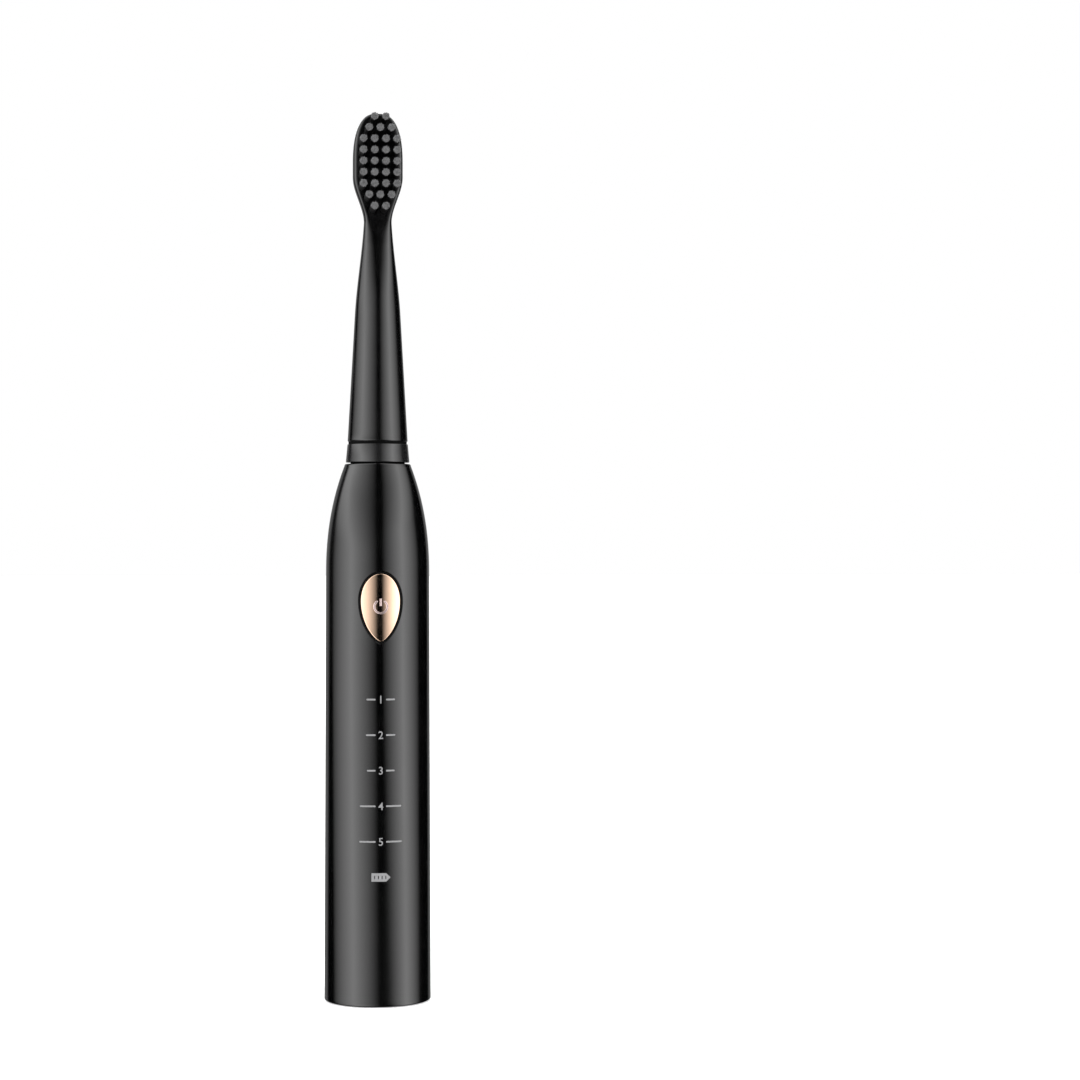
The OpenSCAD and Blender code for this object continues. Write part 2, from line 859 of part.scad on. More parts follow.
module head_core() {
    low_r = skirt_r - skirt_wall - PLAY;
    slope = (low_r - (head_w(cavity_top) - stem_wall)) / (cavity_top - stem_low);
    top_r = low_r - slope * (core_top - stem_low) - PLAY;
    color("whitesmoke") difference() {
        rotate_extrude($fn = 96) polygon([
            [0, core_low], [low_r, core_low], [low_r, stem_low], [top_r, core_top], [0, core_top]]);
        // D-shaped hole that turns with the shaft
        difference() {
            rod(shaft_r + 0.05, core_low - OVER, shaft_top_z + 0.3);
            block([-FAR, -FAR, flat_z + 0.5], [FAR, -flat_y - 0.05, TALL]);
        }
        // Pocket for the spring clip, against the shaft's flat
        block([-clip_w, -flat_y - 1, clip_low], [clip_w, -flat_y, clip_high]);
    }
}

module shaft_clip() {
    near = flat_y + 0.06;
    far = near + 0.8;
    side_w = clip_w - GAP;
    slot = [near + 0.25, near + 0.55];
    window = [flat_z + 9, flat_z + 11];
    color("silver") difference() {
        block([-side_w, -far, clip_low + GAP], [side_w, -near, clip_high - GAP]);
        block([-FAR, -slot[1], clip_low + 4 * GAP], [FAR, -slot[0], clip_high - 4 * GAP]);
        block([-FAR, -near - 0.3, window[0]], [FAR, 0, window[1]]);
    }
}

module id_ring() {
    inner_r = skirt_r + 0.05;
    color("dimgray") rotate_extrude($fn = 96) polygon([
        [inner_r, ring_low], [ring_r_low - ring_edge, ring_low], [ring_r_low, ring_low + ring_edge],
        [ring_r_high, ring_high - ring_edge], [ring_r_high - ring_edge, ring_high], [inner_r, ring_high]]);
}

module tuft_anchors() {
    bottom = tuft_depth - plate_front - 0.05;
    color("gold") for (p = tuft_places())
        block([p[0] - anchor_w, bottom - anchor_h, p[1] - anchor_t],
              [p[0] + anchor_w, bottom, p[1] + anchor_t]);
}

module bristle_tufts() {
    root = plate_front - tuft_depth;
    slot_w = anchor_w + PLAY;
    slot_t = anchor_t + PLAY;
    color("gray") for (p = tuft_places()) translate([p[0], -root, p[1]]) rotate([90, 0, 0]) difference() {
        union() {
            cylinder(r = tuft_root_r, h = tuft_depth, $fn = SMALL);
            translate([0, 0, tuft_depth])
                cylinder(r1 = tuft_root_r, r2 = tuft_tip_r, h = bristle_length, $fn = SMALL);
        }
        // Slot where the tuft is folded over its anchor
        block([-slot_w, -slot_t, -OVER], [slot_w, slot_t, anchor_h + GAP]);
    }
}

handle_housing();
base_cap();
base_oring();
charge_coil();
coil_leads();
chassis();
battery_cell();
battery_pad();
battery_tabs();
main_board();
board_screws();
control_chip();
board_components();
mode_leds();
charge_led();
light_guide();
tact_switch();
switch_plunger();
power_button();
power_icon();
button_gasket();
motor_can();
motor_front_plate();
motor_rear_plate();
front_bush();
rear_bush();
stator_cores();
stator_bobbins();
stator_coils();
motor_leads();
motor_screws();
motor_sleeve();
motor_collar();
drive_shaft();
rotor_hub();
rotor_magnets();
nose_insert();
nose_oring();
shaft_seal();
seal_washer();
head_stem();
head_core();
shaft_clip();
id_ring();
tuft_anchors();
bristle_tufts();
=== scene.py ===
"""The looks of an electric toothbrush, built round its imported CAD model."""

import math

import bmesh
import bpy
import numpy as np
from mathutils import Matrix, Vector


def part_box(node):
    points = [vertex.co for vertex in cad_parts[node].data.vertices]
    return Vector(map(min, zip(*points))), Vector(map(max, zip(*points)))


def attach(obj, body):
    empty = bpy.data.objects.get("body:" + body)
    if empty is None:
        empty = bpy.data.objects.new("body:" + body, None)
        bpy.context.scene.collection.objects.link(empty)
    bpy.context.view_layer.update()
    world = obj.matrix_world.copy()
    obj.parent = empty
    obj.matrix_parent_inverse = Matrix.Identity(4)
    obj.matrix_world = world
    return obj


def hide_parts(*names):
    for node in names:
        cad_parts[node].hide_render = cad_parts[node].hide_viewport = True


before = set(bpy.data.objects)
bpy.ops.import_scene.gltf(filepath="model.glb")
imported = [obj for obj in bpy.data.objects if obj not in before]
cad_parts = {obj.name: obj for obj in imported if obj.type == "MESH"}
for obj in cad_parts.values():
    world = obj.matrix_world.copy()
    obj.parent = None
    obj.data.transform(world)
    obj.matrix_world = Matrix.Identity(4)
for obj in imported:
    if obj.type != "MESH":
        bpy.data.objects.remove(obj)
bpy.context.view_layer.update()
MM = 0.001

# ---- Sizes, in metres: the pieces' ends come from the frame, the rest follows the design ----

# Handle: a slight taper up to the shoulder, a curve that closes in above it, a round foot and lip
HOUSING_LOW, HOUSING_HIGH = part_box("handle_housing")
FOOT_R = HOUSING_HIGH.x
RIM_Z = HOUSING_LOW.z
HANDLE_TOP = HOUSING_HIGH.z
WAIST_R = 13.1 * MM
SHOULDER_Z = 108 * MM
TOP_R = 8.25 * MM
BORE_R = 11.7 * MM
NOSE_R = 6.2 * MM
LEDGE_Z = 128 * MM
SHOULDER_POWER = 2.23
RIM_ROUND = 0.45 * MM
LIP_ROUND = 0.5 * MM
WALL_THICK = 1.4 * MM
BORE_END_Z = SHOULDER_Z - 4 * MM
BAND_LOW = 89.5 * MM
BAND_HIGH = 110.5 * MM

# Button: its outline, the round of its face, and the rubber and pocket round it
BUTTON_LOW, BUTTON_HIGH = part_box("power_button")
BUTTON_W = BUTTON_HIGH.x
BUTTON_Z = 101.5 * MM
BUTTON_UP = BUTTON_HIGH.z - BUTTON_Z
BUTTON_DOWN = BUTTON_Z - BUTTON_LOW.z
BUTTON_FACE_R = 12.4 * MM
BUTTON_PROUD = 0.12 * MM
BUTTON_FACE_Y = WAIST_R + BUTTON_PROUD - BUTTON_FACE_R
BUTTON_EDGE = 0.22 * MM
BUTTON_THICK = 0.6 * MM
POINT_POWER = 1.4
GASKET_W = 0.55 * MM
POCKET_DEEP = 1.3 * MM
POCKET_ROUND = 0.14 * MM
LIP_DEEP = 0.34 * MM
LIP_RISE = 0.26 * MM
LIP_ROOT = 1.15 * MM
LIP_CLEAR = 0.03 * MM

# Sign on the button: half its line's width, and a ring open by some degrees on each side of the top
SIGN_LOW, SIGN_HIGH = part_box("power_icon")
SIGN_R = SIGN_HIGH.x
SIGN_Z = SIGN_LOW.z + SIGN_R
SIGN_LINE = 0.28 * MM
SIGN_GAP = 28
SIGN_BAR_LOW = SIGN_Z + 0.15 * MM
SIGN_BAR_HIGH = SIGN_HIGH.z - 0.05 * MM
SIGN_SINK = 0.02 * MM

# Marks: one over each mode lamp, the third at the middle of the row
LAMPS_LOW, LAMPS_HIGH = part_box("mode_leds")
MARK_PITCH = 8.87 * MM
MARK_TOP_Z = (LAMPS_LOW.z + LAMPS_HIGH.z) / 2 + 2 * MARK_PITCH
MARK_HEIGHT = 1.95 * MM
MARK_WIDTHS = [7.2 * MM, 7.4 * MM, 7.0 * MM, 10.6 * MM, 10.9 * MM]
DASH_THICK = 0.42 * MM
DASH_GAP = 1.3 * MM
PRINT_THICK = 0.015 * MM

# Brush head: skirt and groove at the ring, round stem, neck, then the plate with its flat front
RING_LOW, RING_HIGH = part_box("id_ring")
RING_R = RING_HIGH.x
RING_TOP_R = 7.67 * MM
RING_EDGE = 0.14 * MM
HEAD_LOW, HEAD_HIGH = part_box("head_stem")
HEAD_TOP = HEAD_HIGH.z
SKIRT_R = 6.9 * MM
GROOVE_R = 7.4 * MM
GROOVE_LOW = RING_HIGH.z + 0.1 * MM
STEM_LOW = RING_HIGH.z + 0.65 * MM
STEM_R = 7.62 * MM
STEM_SLOPE = 0.057
NECK_START = 174 * MM
NECK_Z = 197.3 * MM
NECK_W = 3.5 * MM
PLATE_Z = 208.8 * MM
PLATE_W = 6.32 * MM
CROWN_Z = HEAD_TOP - 13 * MM
CROWN_POWER = 2.5
LOFT_Z = 178 * MM
PLATE_FRONT = 2.6 * MM
PLATE_BACK = 2.4 * MM
FACET_TIP_Z = 192.5 * MM
FACET_TOP_Z = 198 * MM
FACET_EDGE = 0.3 * MM
FACET_BLEND = 6 * MM
HEAD_FRONT = 3.4 * MM
FRONT_POWER = 4.0
BACK_POWER = 2.6
CROWN_FULL = 1.6
PLATE_FULL_Z = PLATE_Z - 2 * MM
HOLLOW_TOP = 176 * MM
STEM_EDGE = 0.3 * MM

# Tufts: rows from the stem upwards, and the filaments in each
BRISTLE_TIPS_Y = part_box("bristle_tufts")[0].y
TUFT_ROWS = [2, 3, 4, 4, 4, 4, 4, 3, 2]
TUFT_PITCH = 2.8 * MM
TUFT_LOW_Z = 200.33 * MM
TUFT_ROOT_R = 0.85 * MM
TUFT_TIP_R = 1.03 * MM
BRISTLE_R = 0.1 * MM
BRISTLES = 73

# Shaft and nose
SHAFT_LOW, SHAFT_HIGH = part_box("drive_shaft")
SHAFT_R = SHAFT_HIGH.x
FLAT_Z = 139 * MM
FLAT_Y = 1.45 * MM
FLAT_EDGE = 0.02 * MM


# ---- Mesh making ----

def mix(a, b, t):
    """The way from a to b at t."""
    return a + (b - a) * t


def smooth(t):
    """Three t squared less two t cubed, for t held between 0 and 1."""
    t = np.clip(t, 0, 1)
    return t * t * (3 - 2 * t)


def soft_min(a, b, width):
    """The smaller of a and b, with the corner between them rounded over about width."""
    return (a + b - np.sqrt((a - b) ** 2 + width ** 2)) / 2


def arc(cx, cy, r, start, end, steps):
    """Points on a circle about (cx, cy), from angle start to angle end in degrees."""
    t = np.radians(np.linspace(start, end, steps))
    return np.column_stack([cx + r * np.cos(t), cy + r * np.sin(t)])


def quads(rows, cols, first=0, closed=True):
    """Corner numbers of the quads between neighbouring rows of a grid, row after row.

    Closed joins the last column to the first.
    """
    r, c = np.meshgrid(np.arange(rows - 1), np.arange(cols if closed else cols - 1), indexing="ij")
    a, b = r * cols + c, r * cols + (c + 1) % cols
    return first + np.stack([a, b, b + cols, a + cols], -1).reshape(-1, 4)


def make_piece(name, points, faces, body, finish, replaces=(), sharp=60):
    """A mesh from points and four-cornered faces, its doubles merged, its faces turned outwards."""
    mesh = bpy.data.meshes.new(name)
    points, faces = np.asarray(points, float).reshape(-1, 3), np.asarray(faces, int).reshape(-1, 4)
    mesh.vertices.add(len(points))
    mesh.vertices.foreach_set("co", points.ravel())
    mesh.loops.add(faces.size)
    mesh.loops.foreach_set("vertex_index", faces.ravel())
    mesh.polygons.add(len(faces))
    mesh.polygons.foreach_set("loop_start", np.arange(len(faces)) * 4)
    mesh.polygons.foreach_set("loop_total", np.full(len(faces), 4))
    mesh.update()
    work = bmesh.new()
    work.from_mesh(mesh)
    bmesh.ops.remove_doubles(work, verts=work.verts, dist=1e-7)
    bmesh.ops.dissolve_degenerate(work, edges=work.edges, dist=1e-8)
    bmesh.ops.recalc_face_normals(work, faces=work.faces)
    work.to_mesh(mesh)
    work.free()
    return place(name, mesh, body, finish, replaces, sharp)


def place(name, mesh, body, finish, replaces=(), sharp=60):
    """Puts a finished mesh in the scene on a body, in place of CAD nodes, with its material."""
    mesh.polygons.foreach_set("use_smooth", np.ones(len(mesh.polygons), bool))
    mesh.set_sharp_from_angle(angle=math.radians(sharp))
    mesh.materials.append(finish)
    piece = bpy.data.objects.new(name, mesh)
    bpy.context.scene.collection.objects.link(piece)
    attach(piece, body)
    if replaces:
        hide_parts(*replaces)
    return piece


def turned(profile, sides=192):
    """A round shape: each (radius, height) of the profile carried round the axis."""
    profile = np.asarray(profile, float)
    a = np.linspace(0, 2 * np.pi, sides, endpoint=False)
    r, z = profile[:, :1], np.repeat(profile[:, 1:], sides, 1)
    return np.stack([r * np.sin(a), -r * np.cos(a), z], -1)


def turned_piece(name, profile, body, finish, replaces=(), sides=192, sharp=40):
    """A closed round piece from a profile that ends where it starts."""
    profile = np.vstack([profile, profile[:1]])
    points = turned(profile, sides)
    return make_piece(name, points, quads(len(profile), sides), body, finish, replaces, sharp)


def joined(parts):
    """Several (points, faces) pairs as one pair."""
    points, faces, first = [], [], 0
    for p, f in parts:
        p = np.asarray(p, float).reshape(-1, 3)
        points.append(p)
        faces.append(np.asarray(f, int) + first)
        first += len(p)
    return np.vstack(points), np.vstack(faces)


# ---- Materials ----

class Finish:
    """A material's nodes: patterns on Object coordinates that feed the Principled shader."""

    def __init__(self, name, **sockets):
        """A fresh material; sockets are the shader's own values, with _ for a space."""
        self.material = bpy.data.materials.new(name)
        self.material.use_nodes = True
        self.tree = self.material.node_tree
        self.shader = self.tree.nodes["Principled BSDF"]
        self.coords = self.add("ShaderNodeTexCoord").outputs["Object"]
        self.height = None
        for socket, value in sockets.items():
            self.shader.inputs[socket.replace("_", " ")].default_value = value

    def add(self, kind, **settings):
        """A new node with its settings."""
        node = self.tree.nodes.new(kind)
        for key, value in settings.items():
            setattr(node, key, value)
        return node

    def link(self, a, b):
        """Joins an output to an input."""
        self.tree.links.new(a, b)

    def stretched(self, x=1, y=1, z=1):
        """Object coordinates with each axis scaled, so that a pattern runs along the short one."""
        mapping = self.add("ShaderNodeMapping")
        mapping.inputs["Scale"].default_value = (x, y, z)
        self.link(self.coords, mapping.inputs["Vector"])
        return mapping.outputs["Vector"]

    def noise(self, scale, detail=3, rough=0.5, along=None):
        """Cloudy noise, with scale clouds to the metre."""
        node = self.add("ShaderNodeTexNoise")
        node.inputs["Scale"].default_value = scale
        node.inputs["Detail"].default_value = detail
        node.inputs["Roughness"].default_value = rough
        self.link(along or self.coords, node.inputs["Vector"])
        return node.outputs["Fac"]

    def cells(self, scale, along=None, output="Distance"):
        """Cells round scattered points: how far the nearest one is, or a colour for each cell."""
        node = self.add("ShaderNodeTexVoronoi", feature="F1")
        node.inputs["Scale"].default_value = scale
        self.link(along or self.coords, node.inputs["Vector"])
        return node.outputs[output]

    def bands(self, scale, axis="Z", distortion=0.0):
        """Soft parallel bands across an axis."""
        node = self.add("ShaderNodeTexWave", bands_direction=axis)
        node.inputs["Scale"].default_value = scale
        node.inputs["Distortion"].default_value = distortion
        self.link(self.coords, node.inputs["Vector"])
        return node.outputs["Fac"]

    def ranged(self, fac, low, high, start=0.3, end=0.7):
        """Turns fac, from start to end, into a value from low to high."""
        node = self.add("ShaderNodeMapRange")
        self.link(fac, node.inputs["Value"])
        ends = {"From Min": start, "From Max": end, "To Min": low, "To Max": high}
        for key, value in ends.items():
            node.inputs[key].default_value = value
        return node.outputs["Result"]

    def combined(self, a, b, operation="ADD"):
        """Two patterns added, or put together another way."""
        node = self.add("ShaderNodeMath", operation=operation)
        self.link(a, node.inputs[0])
        if isinstance(b, (int, float)):
            node.inputs[1].default_value = b
        else:
            self.link(b, node.inputs[1])
        return node.outputs[0]

    def colours(self, fac, *stops):
        """Colours the surface by fac, through stops of a place and a colour each."""
        node = self.add("ShaderNodeValToRGB")
        ramp = node.color_ramp
        while len(ramp.elements) < len(stops):
            ramp.elements.new(0.5)
        for element, (where, colour) in zip(ramp.elements, stops):
            element.position = where
            element.color = (*colour, 1)
        self.link(fac, node.inputs["Fac"])
        self.link(node.outputs["Color"], self.shader.inputs["Base Color"])
        return self

    def roughness(self, fac, low, high):
        """Roughness from low to high with fac."""
        self.link(self.ranged(fac, low, high), self.shader.inputs["Roughness"])
        return self

    def bump(self, fac, depth, strength=1.0):
        """Raises the surface by fac, up to depth metres; a second call lies on top of the first."""
        node = self.add("ShaderNodeBump")
        node.inputs["Strength"].default_value = strength
        node.inputs["Distance"].default_value = depth
        self.link(fac, node.inputs["Height"])
        if self.height:
            self.link(self.height, node.inputs["Normal"])
        self.height = node.outputs["Normal"]
        self.link(self.height, self.shader.inputs["Normal"])
        return self


def shades(colour, spread):
    """A darker and a lighter neighbour of a colour."""
    return tuple(c * (1 - spread) for c in colour), tuple(min(1, c * (1 + spread)) for c in colour)


def piano_lacquer():
    """Black lacquer under a hard clear gloss: faint orange peel, and clouds where it was wiped."""
    f = Finish("piano_lacquer", IOR=1.64)
    f.colours(f.noise(220, 4), (0.3, (0.0005, 0.0005, 0.0006)), (0.7, (0.0014, 0.0014, 0.0015)))
    wiped = f.noise(45, 5, 0.6, f.stretched(1, 1, 0.35))
    grain = f.noise(2600, 2)
    f.roughness(f.combined(f.ranged(wiped, 0, 0.8), f.ranged(grain, 0, 0.2)), 0.09, 0.17)
    return f.bump(f.noise(900, 2), 0.9e-6).material


def stem_gloss():
    """Polished black nylon, a little softer than the lacquer, with flow lines along the mould.

    The skirt under the stem, which goes down through the ring, is left dull.
    """
    f = Finish("stem_gloss", IOR=1.63)
    f.colours(f.noise(300, 4), (0.3, (0.0007, 0.0007, 0.0008)), (0.7, (0.0018, 0.0018, 0.0019)))
    flow = f.noise(160, 4, 0.6, f.stretched(3, 3, 0.25))
    split = f.add("ShaderNodeSeparateXYZ")
    f.link(f.coords, split.inputs["Vector"])
    polished = f.ranged(split.outputs["Z"], 0, 1, STEM_LOW - 0.02 * MM, STEM_LOW)
    f.link(f.ranged(polished, 0.04, 0.5, 0, 1), f.shader.inputs["Specular IOR Level"])
    fine = f.combined(f.ranged(flow, 0, 0.7), f.ranged(f.noise(3000, 2), 0, 0.3))
    dull = f.ranged(polished, 0.45, 0, 0, 1)
    f.link(f.combined(f.ranged(fine, 0.12, 0.2), dull), f.shader.inputs["Roughness"])
    return f.bump(f.noise(1300, 2), 1.0e-6).material


def satin_grey():
    """The grey ring: satin paint with a fine even grain."""
    f = Finish("satin_grey", IOR=1.62)
    f.colours(f.noise(700, 5, 0.7),
              (0.3, (0.0055, 0.0055, 0.0057)), (0.7, (0.0095, 0.0095, 0.0098)))
    f.roughness(f.noise(1500, 4), 0.1, 0.17)
    f.bump(f.cells(5200), 2.2e-6)
    return f.bump(f.noise(600, 3), 2.0e-6).material


def rose_gold():
    """Polished rose-gold plate: warm, with fine polishing lines and a few cloudy touches."""
    f = Finish("rose_gold", Metallic=1.0)
    f.colours(f.noise(350, 4, 0.6), (0.25, (0.86, 0.605, 0.44)), (0.75, (0.91, 0.64, 0.47)))
    lines = f.noise(900, 5, 0.7, f.stretched(6, 1, 0.5))
    f.roughness(f.combined(f.ranged(lines, 0, 0.5), f.ranged(f.noise(180, 3), 0, 0.5)), 0.07, 0.14)
    return f.bump(lines, 0.6e-6).material


def pearl_enamel():
    """The raised sign on the button: pale pinkish enamel over metal."""
    f = Finish("pearl_enamel", Metallic=0.8, IOR=1.6)
    f.colours(f.noise(1200, 4), (0.3, (0.50, 0.38, 0.37)), (0.7, (0.62, 0.50, 0.48)))
    f.roughness(f.noise(2200, 3), 0.2, 0.3)
    return f.bump(f.noise(2600, 2), 2e-6).material


def rubber(name, colour, grain=2400, shine=0.45):
    """Soft rubber: matt, with a fine pimpled grain."""
    f = Finish(name, IOR=1.48, Specular_IOR_Level=shine)
    dark, light = shades(colour, 0.3)
    f.colours(f.noise(500, 5, 0.7), (0.3, dark), (0.7, light))
    f.roughness(f.noise(1800, 3), 0.48, 0.68)
    f.bump(f.cells(grain), 8e-6)
    return f.bump(f.noise(400, 4), 6e-6).material


def printed_ink():
    """Light grey screen print: slightly uneven cover."""
    f = Finish("printed_ink", IOR=1.45)
    f.colours(f.noise(5200, 3, 0.7), (0.3, (0.17, 0.17, 0.174)), (0.7, (0.27, 0.27, 0.274)))
    f.roughness(f.noise(2500, 3), 0.4, 0.6)
    return f.bump(f.noise(6000, 2), 3e-6).material


def grey_filament():
    """Charcoal nylon bristles: each filament a shade of its own, its length painted nearly black as
    painted shade.

    The tip is paler: the grey rises over the last part of the filament, where the painted shade
    ends.
    """
    f = Finish("grey_filament", IOR=1.45, Specular_IOR_Level=0.25)
    each = f.cells(4300, f.stretched(1, 0.02, 1), output="Color")
    split = f.add("ShaderNodeSeparateXYZ")
    f.link(f.coords, split.inputs["Vector"])
    # Painted shade: each filament's sides are darkened nearly to black; the filament's own grey
    # shows only near the tip
    grey_from, grey_to = BRISTLE_TIPS_Y + 0.9 * MM, BRISTLE_TIPS_Y + 0.15 * MM
    tip_free_of_painted_shade = f.ranged(split.outputs["Y"], 1, 0, grey_to, grey_from)
    cloud = f.ranged(f.noise(2600, 3, 0.6), -0.06, 0.06)
    speckle = f.combined(f.ranged(each, -0.12, 0.06, 0, 1), cloud)
    f.colours(f.combined(tip_free_of_painted_shade, speckle),
              (0.0, (0.004, 0.004, 0.0042)), (0.35, (0.014, 0.014, 0.0145)),
              (0.75, (0.13, 0.13, 0.132)), (1.0, (0.245, 0.245, 0.248)))
    f.roughness(f.noise(3000, 3), 0.42, 0.56)
    return f.bump(f.noise(7000, 2, 0.5, f.stretched(1, 0.1, 1)), 4e-6).material


def moulded(name, colour, rough=(0.35, 0.5), grain=1800, spread=0.18):
    """Moulded plastic: even colour with faint clouds and a fine spark-eroded texture."""
    f = Finish(name, IOR=1.5)
    dark, light = shades(colour, spread)
    f.colours(f.noise(260, 5, 0.65), (0.3, dark), (0.7, light))
    f.roughness(f.noise(900, 4), *rough)
    f.bump(f.cells(grain), 5e-6)
    return f.bump(f.noise(350, 3), 5e-6).material


def bright_metal(name, colour, rough=(0.18, 0.34), lines=(1, 1, 8), depth=2.5e-6):
    """Turned or rolled metal: fine lines one way, and patches that shine more or less."""
    f = Finish(name, Metallic=1.0)
    dark, light = shades(colour, 0.14)
    f.colours(f.noise(240, 5, 0.7), (0.3, dark), (0.7, light))
    fine = f.noise(700, 5, 0.75, f.stretched(*lines))
    f.roughness(f.combined(f.ranged(fine, 0, 0.6), f.ranged(f.noise(120, 3), 0, 0.4)), *rough)
    return f.bump(fine, depth).material


def wound_wire(name, colour, pitch, axis="Z"):
    """Wire wound side by side: rounded bands one wire wide, glossy with enamel, with painted shade
    in the hollows between turns and a painted highlight on each crown.
    """
    f = Finish(name, Metallic=0.85, IOR=1.6)
    turns = f.bands(pitch, axis, 0.4)
    dark, light = shades(colour, 0.45)
    worn = f.ranged(f.noise(400, 3), -0.15, 0.15)
    # Painted shade and highlight: dark in the hollows between turns, light on their crowns,
    # following the bump
    f.colours(f.combined(turns, worn), (0.05, dark), (0.6, colour), (1, light))
    f.roughness(f.noise(900, 3), 0.22, 0.4)
    return f.bump(turns, 6e-5).material


def stacked_sheets():
    """Laminated core steel: thin sheets seen on edge, with dull varnish."""
    f = Finish("stacked_sheets", Metallic=0.9)
    sheets = f.bands(620, "Z", 0.15)
    varnish = f.ranged(f.noise(500, 4), -0.2, 0.2)
    f.colours(f.combined(sheets, varnish), (0.1, (0.07, 0.07, 0.075)), (0.8, (0.30, 0.30, 0.32)))
    f.roughness(f.noise(700, 4), 0.35, 0.55)
    return f.bump(sheets, 3e-5).material


def solder_mask():
    """The board: green mask over raised copper tracks."""
    f = Finish("solder_mask", IOR=1.52)
    tracks = f.add("ShaderNodeTexBrick")
    tracks.inputs["Scale"].default_value = 230
    tracks.inputs["Mortar Size"].default_value = 0.06
    f.link(f.stretched(1, 0, 1), tracks.inputs["Vector"])
    raised = tracks.outputs["Fac"]
    f.colours(f.combined(f.ranged(f.noise(300, 4), 0, 0.4), f.combined(raised, 0.6, "MULTIPLY")),
              (0.1, (0.008, 0.07, 0.028)), (0.6, (0.02, 0.16, 0.07)), (1, (0.05, 0.28, 0.13)))
    f.roughness(f.noise(800, 3), 0.2, 0.34)
    return f.bump(raised, 2.5e-5).material


def shrink_sleeve():
    """The cell's blue sleeve: thin glossy film with small wrinkles where it shrank."""
    f = Finish("shrink_sleeve", IOR=1.54)
    f.colours(f.noise(180, 4), (0.3, (0.012, 0.055, 0.22)), (0.7, (0.02, 0.085, 0.33)))
    f.roughness(f.noise(500, 4), 0.16, 0.3)
    return f.bump(f.noise(260, 4, 0.6, f.stretched(1, 1, 3)), 4e-5).material


# ---- The handle ----

def handle_radius(z):
    """The handle's radius at height z.

    A slight straight taper up to the shoulder; above it, the radius closes in by a power of how far
    z is on its way from the shoulder to the top.
    """
    up = np.clip((z - SHOULDER_Z) / (HANDLE_TOP - SHOULDER_Z), 0, None)
    straight = mix(FOOT_R, WAIST_R, np.minimum(z, SHOULDER_Z) / SHOULDER_Z)
    return straight - (WAIST_R - TOP_R) * up ** SHOULDER_POWER


def egg(grow, turn):
    """The button's outline at angles turn, grown outwards by grow.

    Half an ellipse above its widest line; below it, the cosine is raised to a power, which draws
    the sides in to a blunt point.
    """
    c, s = np.cos(turn), np.sin(turn)
    across = np.where(s < 0, np.sign(c) * np.abs(c) ** POINT_POWER, c)
    tall = np.where(s < 0, BUTTON_DOWN, BUTTON_UP) + grow
    return (BUTTON_W + grow) * across, BUTTON_Z + tall * s


def on_handle(x, z, deep=0.0):
    """Points on the front of the handle at x and z, pushed straight in by deep."""
    r = handle_radius(z)
    return np.stack([x, deep - np.sqrt(r ** 2 - x ** 2), z], -1)


